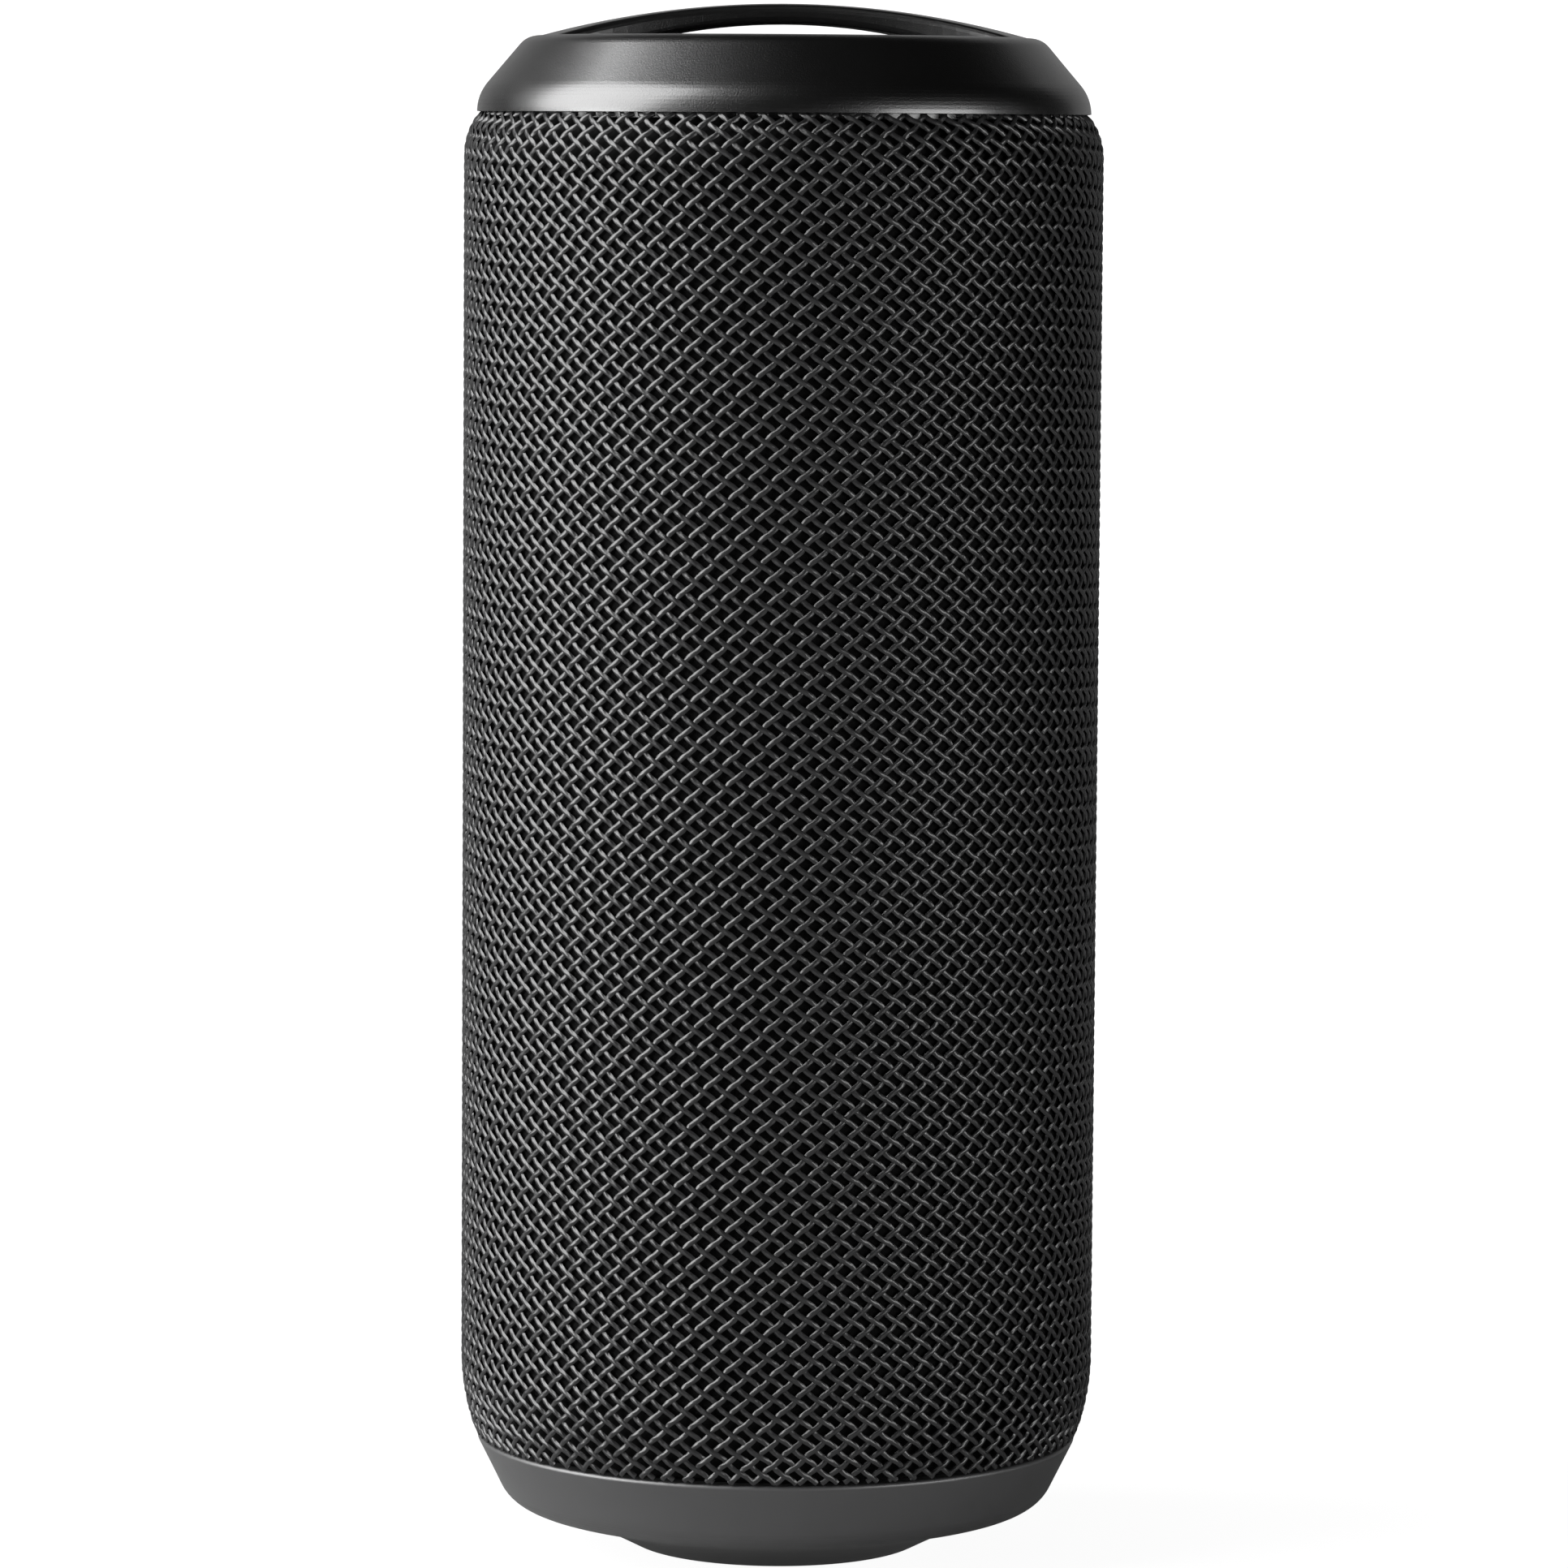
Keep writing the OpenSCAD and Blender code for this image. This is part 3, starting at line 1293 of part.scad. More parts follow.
module aux_jack() {
  block_h = 2 * (port_z - main_board_z);
  barrel_l = pocket_floor_t + seat_gap;
  color("#202123") difference() {
    union() {
      translate([aux_x - aux_block_w / 2, pocket_y - aux_l, main_board_z])
        cube([aux_block_w, aux_l - barrel_l, block_h]);
      translate([aux_x, pocket_y, port_z]) rotate([90, 0, 0]) cylinder(d = aux_d, h = barrel_l + overlap);
    }
    translate([aux_x, pocket_y + overlap, port_z])
      rotate([90, 0, 0]) cylinder(d = aux_bore_d, h = aux_bore_l + overlap);
  }
}

// Places a child at the port cover's bead, with x along the fabric's tangent and y outward
module at_bead() {
  translate([bead_x, bead_y, port_z]) rotate([0, 0, atan2(bead_y, bead_x) - 90]) children();
}

module port_bezel() {
  channel_r = bead_r + moving_gap;
  mouth_r = channel_r + seat_gap;
  pocket_w = port_cover_w + 2 * moving_gap;
  pocket_h = port_cover_h + 2 * moving_gap;
  channel_l = pocket_h + 2 * seat_gap;
  scoop_r = 1.6;
  scoop_h = 6;
  scoop_x = pocket_w / 2 + moving_gap;
  scoop_y = bead_y + bead_r;
  color("#1d1e20") difference() {
    intersection() {
      translate([0, pocket_y - pocket_floor_t, port_z]) rotate([-90, 0, 0])
        linear_extrude(height = through) rounded_rect(bezel_out_w, bezel_out_h, bezel_round);
      cylinder(r = bezel_r, h = through);
    }
    translate([0, pocket_y, port_z]) rotate([-90, 0, 0])
      linear_extrude(height = through) rounded_rect(pocket_w, pocket_h, pocket_round);
    at_bead() translate([0, 0, -channel_l / 2]) {
      cylinder(r = channel_r, h = channel_l);
      translate([-mouth_r, 0, 0]) cube([2 * mouth_r, port_cover_r, channel_l]);
    }
    translate([scoop_x, scoop_y, port_z - scoop_h / 2]) cylinder(r = scoop_r, h = scoop_h);
    translate([usb_x, pocket_y, port_z]) rotate([90, 0, 0])
      linear_extrude(height = 4 * pocket_floor_t, center = true)
        port_slot(usb_w + 2 * seat_gap, usb_h + 2 * seat_gap);
    translate([aux_x, pocket_y, port_z]) rotate([90, 0, 0])
      cylinder(d = aux_d + 2 * seat_gap, h = 4 * pocket_floor_t, center = true);
  }
}

// A curved rubber door on a round bead
module port_cover() {
  color("#232427") {
    intersection() {
      rotate([-90, 0, 0]) translate([0, -port_z, 0])
        linear_extrude(height = through)
          rounded_rect(port_cover_w, port_cover_h, pocket_round - moving_gap);
      ring(port_cover_r, port_cover_r - port_cover_t, through);
    }
    at_bead() translate([0, 0, -port_cover_h / 2]) cylinder(r = bead_r, h = port_cover_h);
  }
}

// ---- Base ----

// The base's outer line, from the ring round the foot pad out to the neck, the corner and the lip
base_line = [
  [base_ring_r, base_ring_z], [base_neck_r, neck_z], [base_corner, base_corner_z], [base_r, base_h]
];
flank_slope = atan2(neck_z - base_ring_z, base_neck_r - base_ring_r);
under_slope = atan2(base_corner_z - neck_z, base_corner - base_neck_r);
side_lean = atan2(base_r - base_corner, base_h - base_corner_z);

// The same line moved inward by d: its neck, its corner, its upper end, and its heights at the radius r
function base_inset_neck(d) = mitre(base_line[0], base_line[1], base_line[2], d);

function base_inset_corner(d) = mitre(base_line[1], base_line[2], base_line[3], d);

function base_inset_top(d) = [base_r - d / cos(side_lean), base_h];

function flank_inset_z(d, r) = base_ring_z + (r - base_ring_r) * tan(flank_slope) + d / cos(flank_slope);

function under_inset_z(d, r) = neck_z + (r - base_neck_r) * tan(under_slope) + d / cos(under_slope);

module rubber_base() {
  neck = base_inset_neck(base_t);
  corner = base_inset_corner(base_t);
  color("#4b4c4e") revolve([
    [base_ring_r, base_ring_z, base_ring_round], [base_neck_r, neck_z, neck_round],
    [base_corner, base_corner_z, base_corner_r], [base_r, base_h, base_lip_round],
    base_inset_top(base_t), [corner[0], corner[1], base_corner_r - base_t],
    [neck[0], neck[1], neck_round + base_t], [core_seat_r, flank_inset_z(base_t, core_seat_r)],
    [core_seat_r, foot_t], [base_inner_r, foot_t], [base_inner_r, base_ring_z]
  ]);
}

module base_core() {
  depth = base_t + seat_gap;
  inner_depth = depth + core_t;
  neck = base_inset_neck(depth);
  corner = base_inset_corner(depth);
  floor_r = core_seat_r - seat_gap;
  floor_top = core_floor_z + core_floor_t;
  meet_r = core_seat_r + (floor_top - flank_inset_z(inner_depth, core_seat_r)) / tan(flank_slope);
  post_z = under_inset_z(depth + core_t / 2, board_post_r);
  notch_z = port_z - bezel_out_h / 2 - moving_gap;
  color("#2a2b2e") difference() {
    union() {
      revolve([
        [0, core_floor_z], [floor_r, core_floor_z], [floor_r, flank_inset_z(depth, floor_r)],
        [neck[0], neck[1], neck_round + depth], [corner[0], corner[1], base_corner_r - base_t],
        base_inset_top(depth), [skirt_out, base_h], [skirt_out, core_skirt_top],
        [skirt_in, core_skirt_top], [skirt_in, base_h], base_inset_top(inner_depth),
        base_inset_corner(inner_depth), base_inset_neck(inner_depth), [meet_r, floor_top], [0, floor_top]
      ]);
      round_the_axis(base_screw_angles, base_screw_r)
        translate([0, 0, core_floor_z])
          cylinder(d = pedestal_d + 2 * core_boss_wall, h = core_boss_top - core_floor_z);
      round_the_axis(board_post_angles, board_post_r)
        translate([0, 0, post_z]) cylinder(d = board_post_d, h = main_board_under - post_z);
      translate([0, 0, grille_z + flange_h + seat_gap]) snap_hooks();
    }
    round_the_axis(base_screw_angles, base_screw_r) {
      translate([0, 0, core_floor_z - overlap])
        cylinder(r = large_head_r + head_gap, h = overlap + seat_gap + large_head_h);
      translate([0, 0, core_floor_z - overlap])
        cylinder(r = large_screw_r + screw_fit, h = core_boss_top);
    }
    round_the_axis(board_post_angles, board_post_r)
      translate([0, 0, main_board_under - board_pilot_l])
        cylinder(r = small_screw_r, h = board_pilot_l + overlap);
    translate([-bezel_out_w / 2 - moving_gap, skirt_in - core_notch_depth, notch_z])
      cube([bezel_out_w + 2 * moving_gap, through, through]);
  }
}

module base_screws() {
  color("#b9bcc0") round_the_axis(base_screw_angles, base_screw_r)
    translate([0, 0, core_floor_z + seat_gap + large_head_h])
      screw(large_screw_r, large_head_r, large_head_h, large_screw_l);
}

module foot_pad() {
  color("#3c3d3f") revolve([[0, 0], [foot_r, 0, foot_round], [foot_r, foot_t], [0, foot_t]]);
}

// ---- Every piece in its place ----

top_cap();
control_bowl();
key_power();
key_pairing();
key_volume_down();
key_play_pause();
key_volume_up();
keypad_seal();
status_light_pipe();
key_switches();
control_board();
control_board_parts();
bowl_screws();
board_screws();
top_gasket();
fabric_sleeve();
grille_frame();
chassis_front();
chassis_rear();
chassis_gasket();
chassis_screws();
front_driver_basket();
front_driver_top_plate();
front_driver_magnet();
front_driver_yoke();
front_driver_voice_coil();
front_driver_spider();
front_driver_cone();
front_driver_surround();
front_driver_dust_cap();
rear_driver_basket();
rear_driver_top_plate();
rear_driver_magnet();
rear_driver_yoke();
rear_driver_voice_coil();
rear_driver_spider();
rear_driver_cone();
rear_driver_surround();
rear_driver_dust_cap();
front_radiator_frame();
front_radiator_surround();
front_radiator_plate();
rear_radiator_frame();
rear_radiator_surround();
rear_radiator_plate();
mount_gaskets();
mount_screws();
battery_cells();
battery_tray();
main_board();
main_board_parts();
usb_c_socket();
aux_jack();
port_bezel();
port_cover();
base_core();
base_screws();
rubber_base();
foot_pad();
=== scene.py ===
# %% [markdown]
# # A portable speaker in a woven sleeve
# A slim upright speaker has four things to look at: an open fabric sleeve, a satin cap
# whose carry handle arches over a dish of keys, a rubber base, and a port cover low at
# the back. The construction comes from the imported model, in metres, and stays where it
# is. This script adds what the hand and the eye meet: the yarns, the satin of the cap,
# the signs on the keys and a finish for every piece.

# %% Load the frame
import json
import math

import bpy
import numpy as np
from mathutils import Matrix, Vector


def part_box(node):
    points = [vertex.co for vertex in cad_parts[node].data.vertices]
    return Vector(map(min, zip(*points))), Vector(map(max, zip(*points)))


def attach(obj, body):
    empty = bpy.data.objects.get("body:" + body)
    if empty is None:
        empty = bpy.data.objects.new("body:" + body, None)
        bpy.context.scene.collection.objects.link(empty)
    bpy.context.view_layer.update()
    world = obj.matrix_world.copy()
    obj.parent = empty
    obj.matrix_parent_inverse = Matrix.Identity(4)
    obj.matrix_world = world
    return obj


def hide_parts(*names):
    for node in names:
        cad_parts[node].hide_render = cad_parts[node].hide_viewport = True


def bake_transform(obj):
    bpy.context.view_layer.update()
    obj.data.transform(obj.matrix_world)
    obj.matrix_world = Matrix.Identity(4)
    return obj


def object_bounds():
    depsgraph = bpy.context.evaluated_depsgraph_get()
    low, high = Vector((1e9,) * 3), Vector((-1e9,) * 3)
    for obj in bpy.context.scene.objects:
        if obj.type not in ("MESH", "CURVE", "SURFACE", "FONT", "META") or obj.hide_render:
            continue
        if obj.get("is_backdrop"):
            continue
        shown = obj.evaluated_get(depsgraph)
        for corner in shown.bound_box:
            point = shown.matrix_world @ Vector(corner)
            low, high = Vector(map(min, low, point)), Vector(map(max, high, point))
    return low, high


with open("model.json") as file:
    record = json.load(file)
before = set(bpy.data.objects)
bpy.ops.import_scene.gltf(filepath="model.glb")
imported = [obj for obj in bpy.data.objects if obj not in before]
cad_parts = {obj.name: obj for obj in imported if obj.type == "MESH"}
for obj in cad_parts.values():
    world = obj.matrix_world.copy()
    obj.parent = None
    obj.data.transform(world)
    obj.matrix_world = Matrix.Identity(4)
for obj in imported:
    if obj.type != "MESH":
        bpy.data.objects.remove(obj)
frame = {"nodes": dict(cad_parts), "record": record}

scene = bpy.context.scene
nodes = frame["nodes"]
frame_low, frame_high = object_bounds()
MM = 0.001
print("The frame holds", len(nodes), "pieces,", round(frame_high.z / MM, 1), "mm high")

# %% [markdown]
# ## The camera
# A long lens from under a metre away keeps the sides of the cylinder nearly parallel.
# The camera stands at the height of the sleeve's upper edge, so the cap is seen from
# its side, with a sliver of light under the handle, and it looks down a little.

# %% Camera
CAMERA_DISTANCE = 878.6 * MM
CAMERA_HEIGHT = 179.48 * MM
CAMERA_TILT = math.radians(5.371)
CAMERA_TURN = math.radians(0.034)
CAMERA_ROLL = math.radians(0.373)
FOCAL_LENGTH, SENSOR_WIDTH = 160.3, 36
NEAREST, FARTHEST = 0.05, 20

lens = bpy.data.cameras.new("camera")
lens.lens, lens.sensor_width = FOCAL_LENGTH, SENSOR_WIDTH
lens.clip_start, lens.clip_end = NEAREST, FARTHEST
camera = bpy.data.objects.new("camera", lens)
camera.matrix_world = (
    Matrix.Translation((0, -CAMERA_DISTANCE, CAMERA_HEIGHT))
    @ Matrix.Rotation(-CAMERA_TURN, 4, "Z")
    @ Matrix.Rotation(math.pi / 2 - CAMERA_TILT, 4, "X")
    @ Matrix.Rotation(CAMERA_ROLL, 4, "Z")
)
scene.collection.objects.link(camera)
scene.camera = camera
scene.view_settings.view_transform = "Standard"
print("The camera looks from", tuple(round(x, 3) for x in camera.location))

# %% [markdown]
# ## A material as Python
# A finish is a small sum: some grain, a little wear, a weave. Written as nodes alone it
# is hard to read, so one class wraps a node's output and lets Python's own signs add the
# Math nodes. A second class holds the material and has one method that adds any other
# node, with its settings first and then what goes into its sockets. A Mix node keeps its
# colours at sockets of their own, whose numbers are named here.

# %% Values that add their own Math nodes
MIX_SHARE, MIX_FIRST, MIX_SECOND, MIX_RESULT = 0, 6, 7, 2


class Value:
    """The output of a node in a material. Its sums become Math nodes."""

    def __init__(self, finish, socket):
        self.finish = finish
        self.socket = socket

    def sum(self, operation, first, second):
        return self.finish.add("ShaderNodeMath", {0: first, 1: second}, operation=operation)

    def __add__(self, other):
        return self.sum("ADD", self, other)

    __radd__ = __add__

    def __sub__(self, other):
        return self.sum("SUBTRACT", self, other)

    def __rsub__(self, other):
        return self.sum("SUBTRACT", other, self)

    def __mul__(self, other):
        return self.sum("MULTIPLY", self, other)

    __rmul__ = __mul__


class Finish:
    """A material that is being made, with its shader at the end of it."""

    def __init__(self, name, colour, roughness, **sockets):
        self.material = bpy.data.materials.new(name)
        self.material.use_nodes = True
        self.tree = self.material.node_tree
        self.shader = self.tree.nodes["Principled BSDF"]
        self.set("Base Color", (*colour, 1))
        self.set("Roughness", roughness)
        for name, value in sockets.items():
            self.set(name.replace("_", " "), value)

    def add(self, kind, sockets=None, output=0, **settings):
        """Adds a node, with its settings and then its sockets, and gives its output."""
        node = self.tree.nodes.new(kind)
        for name, value in settings.items():
            setattr(node, name, value)
        for name, value in (sockets or {}).items():
            self.feed(node.inputs[name], value)
        return Value(self, node.outputs[output])

    def feed(self, socket, value):
        if isinstance(value, Value):
            self.tree.links.new(value.socket, socket)
        else:
            socket.default_value = value

    def set(self, name, value):
        """Gives the shader's socket a value, or a link."""
        self.feed(self.shader.inputs[name], value)

    def place(self):
        """Object coordinates, in metres."""
        return self.add("ShaderNodeTexCoord", output="Object")

    def noise(self, size, detail=2.0, place=None):
        """Soft noise whose lumps are about size across."""
        sockets = {"Vector": place or self.place(), "Scale": 1 / size, "Detail": detail}
        return self.add("ShaderNodeTexNoise", sockets, output="Fac")

    def blend(self, share, first, second):
        """A colour between two, by share."""
        sockets = {MIX_SHARE: share, MIX_FIRST: (*first, 1), MIX_SECOND: (*second, 1)}
        return self.add("ShaderNodeMix", sockets, output=MIX_RESULT, data_type="RGBA")

    def bump(self, height, depth, strength=1.0):
        """Feeds the normal with a height that stands depth metres high."""
        sockets = {"Height": height, "Distance": depth, "Strength": strength}
        self.set("Normal", self.add("ShaderNodeBump", sockets))


print("Value and Finish are ready")

# %% [markdown]
# ## The stage
# The speaker stands on white paper in front of more white paper. Light Path tells a
# camera's ray from the others, so the paper can look plain white without throwing that
# much light on the object. What the cap mirrors of it is dimmer, as paper outside the
# lamps' beams is. Near the speaker the floor is partly real paper, lit by the lamps, and
# that part keeps the shadow. Further out it fades to the plain white of the backdrop.

# %% Floor, backdrop and world
FLOOR_SIZE = 3.0
SHADOW_SHARE = 0.2
SHADOW_REACH = 0.45
FLOOR_MIRRORED, BACKDROP_MIRRORED = 0.04, 0.12
GLOW = 1.17
PAPER, BOUNCE = (0.8, 0.8, 0.8), (0.3, 0.3, 0.3)
PAPER_ROUGHNESS = 0.9
AMBIENT, WHITE = (0.006, 0.006, 0.006, 1), (1, 1, 1, 1)


def white_sheet(name, size, place, turn, shadow_share, mirrored):
    """A square of white paper that the camera sees as white, apart from the shadow on it."""
    bpy.ops.mesh.primitive_plane_add(size=size, location=place, rotation=turn)
    sheet = bpy.context.object
    sheet.name = name
    paper = Finish(name, PAPER, PAPER_ROUGHNESS, Specular_IOR_Level=0.0)
    path = paper.tree.nodes.new("ShaderNodeLightPath").outputs
    camera_ray = Value(paper, path["Is Camera Ray"])
    seen = camera_ray + Value(paper, path["Is Transmission Ray"])
    seen = seen + mirrored * Value(paper, path["Is Glossy Ray"])
    away = paper.add(
        "ShaderNodeVectorMath", {0: paper.place()}, output="Value", operation="LENGTH"
    )
    reach = {
        "Value": away, "From Max": SHADOW_REACH, "To Min": 1 - shadow_share, "To Max": 1.0
    }
    glowing = paper.add("ShaderNodeMapRange", reach)
    glow = paper.tree.nodes.new("ShaderNodeEmission")
    mix = paper.tree.nodes.new("ShaderNodeMixShader")
    paper.feed(mix.inputs[0], seen * glowing)
    paper.set("Base Color", paper.blend(camera_ray, BOUNCE, PAPER))
    glow.inputs["Strength"].default_value = GLOW
    paper.tree.links.new(paper.shader.outputs[0], mix.inputs[1])
    paper.tree.links.new(glow.outputs[0], mix.inputs[2])
    out = paper.tree.nodes["Material Output"]
    paper.tree.links.new(mix.outputs[0], out.inputs["Surface"])
    sheet.data.materials.append(paper.material)
    sheet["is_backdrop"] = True


bpy.ops.object.select_all(action="DESELECT")
white_sheet("floor", FLOOR_SIZE, (0, 0, 0), (0, 0, 0), SHADOW_SHARE, FLOOR_MIRRORED)
white_sheet(
    "backdrop", FLOOR_SIZE, (0, FLOOR_SIZE / 2, 0), (math.pi / 2, 0, 0), 0, BACKDROP_MIRRORED
)

world = bpy.data.worlds.new("studio")
scene.world = world
world.use_nodes = True
sky = world.node_tree
path = sky.nodes.new("ShaderNodeLightPath")
seen = sky.nodes.new("ShaderNodeMath")
seen.operation = "MAXIMUM"
sky.links.new(path.outputs["Is Camera Ray"], seen.inputs[0])
sky.links.new(path.outputs["Is Transmission Ray"], seen.inputs[1])
tone = sky.nodes.new("ShaderNodeMix")
tone.data_type = "RGBA"
tone.inputs[MIX_FIRST].default_value = AMBIENT
tone.inputs[MIX_SECOND].default_value = WHITE
sky.links.new(seen.outputs[0], tone.inputs[MIX_SHARE])
sky.links.new(tone.outputs[MIX_RESULT], sky.nodes["Background"].inputs["Color"])
print("The stage is", FLOOR_SIZE, "m across")

# %% [markdown]
# ## The lamps
# One big soft box stands close on the left and reaches high, so the left of the cap and
# of every yarn carries a broad highlight. A low one beside it lights the flank and the
# base. A smaller one on the right gives the faint second highlight. Between them the
# front stays dark, which is what shows the curve of the body.

# %% Soft boxes
def soft_box(name, azimuth, elevation, distance, width, height, radiance):
    """An area lamp aimed at the middle of the body, at an azimuth to the right of the camera."""
    middle = Vector((0, 0, frame_high.z / 2))
    a, e = math.radians(azimuth), math.radians(elevation)
    away = Vector((math.sin(a) * math.cos(e), -math.cos(a) * math.cos(e), math.sin(e)))
    lamp = bpy.data.lights.new(name, "AREA")
    lamp.shape = "RECTANGLE"
    lamp.size, lamp.size_y = width, height
    lamp.energy = radiance * math.pi * width * height
    box = bpy.data.objects.new(name, lamp)
    facing = away.to_track_quat("Z", "Y").to_matrix().to_4x4()
    box.matrix_world = Matrix.Translation(middle + away * distance) @ facing
    scene.collection.objects.link(box)
    print(name, "stands", distance, "m away")


soft_box("left_box", -77, 30, distance=1.0, width=1.0, height=1.15, radiance=6.1)
soft_box("low_box", -70, -3, distance=1.0, width=0.5, height=0.35, radiance=5.5)
soft_box("right_box", 57, 2, distance=1.1, width=0.75, height=0.40, radiance=5.7)

# %% [markdown]
# ## Weaving the sleeve
# The sleeve is a plain weave on the bias: two families of round yarns climb the body as
# helices, one to each hand, and each yarn goes over one of the others and under the
# next. A flat cloth with a picture of holes would go blind at its edges, so every yarn
# is swept as a real tube. Counting yarns round the body gives two coordinates, u and v,
# that are whole numbers on the yarns of one family and of the other. A yarn then swings
# in and out as cos(pi * (u + v)), the two families in opposite sense, and they never
# collide where they cross. The outline that they follow is a long curve at the bottom, a
# straight flank, a shorter curve at the top, and there a tight tuck under the cap.

# %% The sleeve's outline
sleeve_low, sleeve_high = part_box("fabric_sleeve")
BODY_R = sleeve_high.x
LOW_CURVE_R, LOW_CURVE_H = 28 * MM, 10 * MM
HIGH_CURVE_R, HIGH_CURVE_H = 8.5 * MM, 5.2 * MM
low_turn = math.asin(LOW_CURVE_H / LOW_CURVE_R)
high_turn = math.asin(HIGH_CURVE_H / HIGH_CURVE_R)
low_l, high_l = low_turn * LOW_CURVE_R, high_turn * HIGH_CURVE_R
straight_l = sleeve_high.z - sleeve_low.z - LOW_CURVE_H - HIGH_CURVE_H
SLEEVE_L = low_l + straight_l + high_l
TUCK_R = 0.6 * MM
TUCK_L = TUCK_R * (math.pi / 2 - high_turn)


def sleeve_line(s, depth):
    """Radius and height of the cloth, s metres from its lower end and depth under its outside."""
    low = np.clip(low_l - s, 0, low_l) / LOW_CURVE_R
    high = np.clip(s - low_l - straight_l, 0, high_l) / HIGH_CURVE_R
    tuck = np.clip(s - SLEEVE_L, 0, TUCK_L) / TUCK_R
    along = np.clip(s - low_l, 0, straight_l)
    r = BODY_R - LOW_CURVE_R * (1 - np.cos(low)) - HIGH_CURVE_R * (1 - np.cos(high))
    z = sleeve_low.z + LOW_CURVE_H - LOW_CURVE_R * np.sin(low) + along + HIGH_CURVE_R * np.sin(high)
    lean = high - low
    r = r - depth * np.cos(lean) - TUCK_R * (np.cos(lean) - np.cos(lean + tuck))
    z = z - depth * np.sin(lean) + TUCK_R * (np.sin(lean + tuck) - np.sin(lean))
    return r, z


print("The sleeve's outline is", round(SLEEVE_L / MM, 1), "mm long")

# %% [markdown]
# A yarn's path is a helix along the sleeve's outline, with four points for each crossing.
# At the two hems the swing calms down, because there the cloth is pressed flat under the
# cap and over the base.

# %% The path of one yarn
HALF_WIDTH = 0.33 * MM
HALF_THICKNESS = 0.2 * MM
SWING = 0.1 * MM
STEPS = 4
YARN_L = SLEEVE_L + TUCK_L
CALM_L = 1.2 * MM
FALLING = {"count": 94, "sense": -1, "angle": math.radians(39.0), "sway": 0.2 * MM}
RISING = {"count": 84, "sense": 1, "angle": math.radians(43.8), "sway": 0.16 * MM}


def turn_per_length(family):
    """How far round the body a yarn goes for each metre that it climbs."""
    return family["sense"] / (BODY_R * math.tan(family["angle"]))


def yarn_path(family, other, number):
    """The points of a yarn, a few for each crossing, and how far up the outline each one is."""
    start = 2 * math.pi * number / family["count"]
    rate = other["count"] / (2 * math.pi) * (turn_per_length(family) - turn_per_length(other))
    first = other["count"] * start / (2 * math.pi)
    last = first + rate * YARN_L
    low, high = sorted((first, last))
    steps = np.arange(math.ceil(low * STEPS), math.floor(high * STEPS) + 1) / STEPS
    s = np.unique(np.concatenate([[0, YARN_L], (steps - first) / rate]).round(9))
    crossing = first + rate * s
    calm = np.clip(np.minimum(s, YARN_L - s) / CALM_L, 0, 1)
    swing = family["sense"] * SWING * calm * np.cos(np.pi * (number + crossing))
    sway = family["sense"] * family["sway"] * calm * np.sin(np.pi * (number + crossing))
    r, z = sleeve_line(s, SWING + HALF_THICKNESS - swing)
    turn = start + turn_per_length(family) * s + sway / BODY_R
    return np.stack([r * np.sin(turn), -r * np.cos(turn), z], 1), s


print("A yarn has", len(yarn_path(FALLING, RISING, 0)[0]), "points")

# %% [markdown]
# The yarns press each other flat where they cross, so a yarn's section is wider than it
# is thick, and its flat side faces outwards. A curve's bevel can't keep to that side on a
# helix, so the rings are worked out here. Six points go round a yarn. Each point also
# keeps the phase of the yarn's two twisted plies, which the finish turns into fine
# slanting grooves.

# %% The rings round a yarn
SIDES = 6
PLIES = 2
LAY_L = 1.5 * MM
ring_angles = (np.arange(SIDES) + 0.5) * 2 * np.pi / SIDES - np.pi / 2


def yarn_rings(points):
    """The points round a yarn, ring by ring, and the phase of its plies at each of them."""
    along = np.gradient(points, axis=0)
    length = np.linalg.norm(along, axis=1, keepdims=True)
    along = along / length
    outward = points * (1, 1, 0)
    side = np.cross(along, outward)
    side = side / np.linalg.norm(side, axis=1, keepdims=True)
    face = np.cross(side, along)
    across = np.cos(ring_angles)[None, :, None] * side[:, None, :] * HALF_WIDTH
    thick = np.sin(ring_angles)[None, :, None] * face[:, None, :] * HALF_THICKNESS
    phase = 2 * np.pi * np.cumsum(length)[:, None] / LAY_L + PLIES * ring_angles[None, :]
    return points[:, None, :] + across + thick, phase


def yarn_faces(rings):
    """The faces of a yarn, as point numbers: its skin, and then its two ends."""
    here = np.arange(rings - 1)[:, None] * SIDES + np.arange(SIDES)[None, :]
    beside = np.arange(rings - 1)[:, None] * SIDES + np.roll(np.arange(SIDES), -1)[None, :]
    skin = np.stack([here, here + SIDES, beside + SIDES, beside], 2).reshape(-1, 4)
    low_end = np.arange(SIDES)
    high_end = np.arange(SIDES)[::-1] + (rings - 1) * SIDES
    return skin, low_end, high_end


print("A yarn is", 2 * HALF_WIDTH / MM, "mm wide and", 2 * HALF_THICKNESS / MM, "mm thick")

# %% [markdown]
# The sleeve has a window for the port bezel. The yarns end inside the bezel's wall,
# where its moulding covers them. So that no piece gets too heavy, the cloth is kept as
# seven bands, one over the other, whose yarns run on from band to band.

# %% Weave the bands
BANDS = 7
BEZEL_COVERS = 0.6 * MM
YARN_SMOOTH, SMOOTH = math.radians(80), math.radians(40)
bezel_low, bezel_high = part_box("port_bezel")


def pick(*pieces):
    """Selects these pieces and nothing else, and makes the first one active."""
    bpy.ops.object.select_all(action="DESELECT")
    for piece in pieces:
        piece.select_set(True)
    bpy.context.view_layer.objects.active = pieces[0]


def in_window(points):
    """True where a point lies behind the port bezel."""
    x, y, z = points.T
    across = np.abs(x) < bezel_high.x - BEZEL_COVERS
    level = (z > bezel_low.z + BEZEL_COVERS) & (z < bezel_high.z - BEZEL_COVERS)
    return across & (y > 0) & level


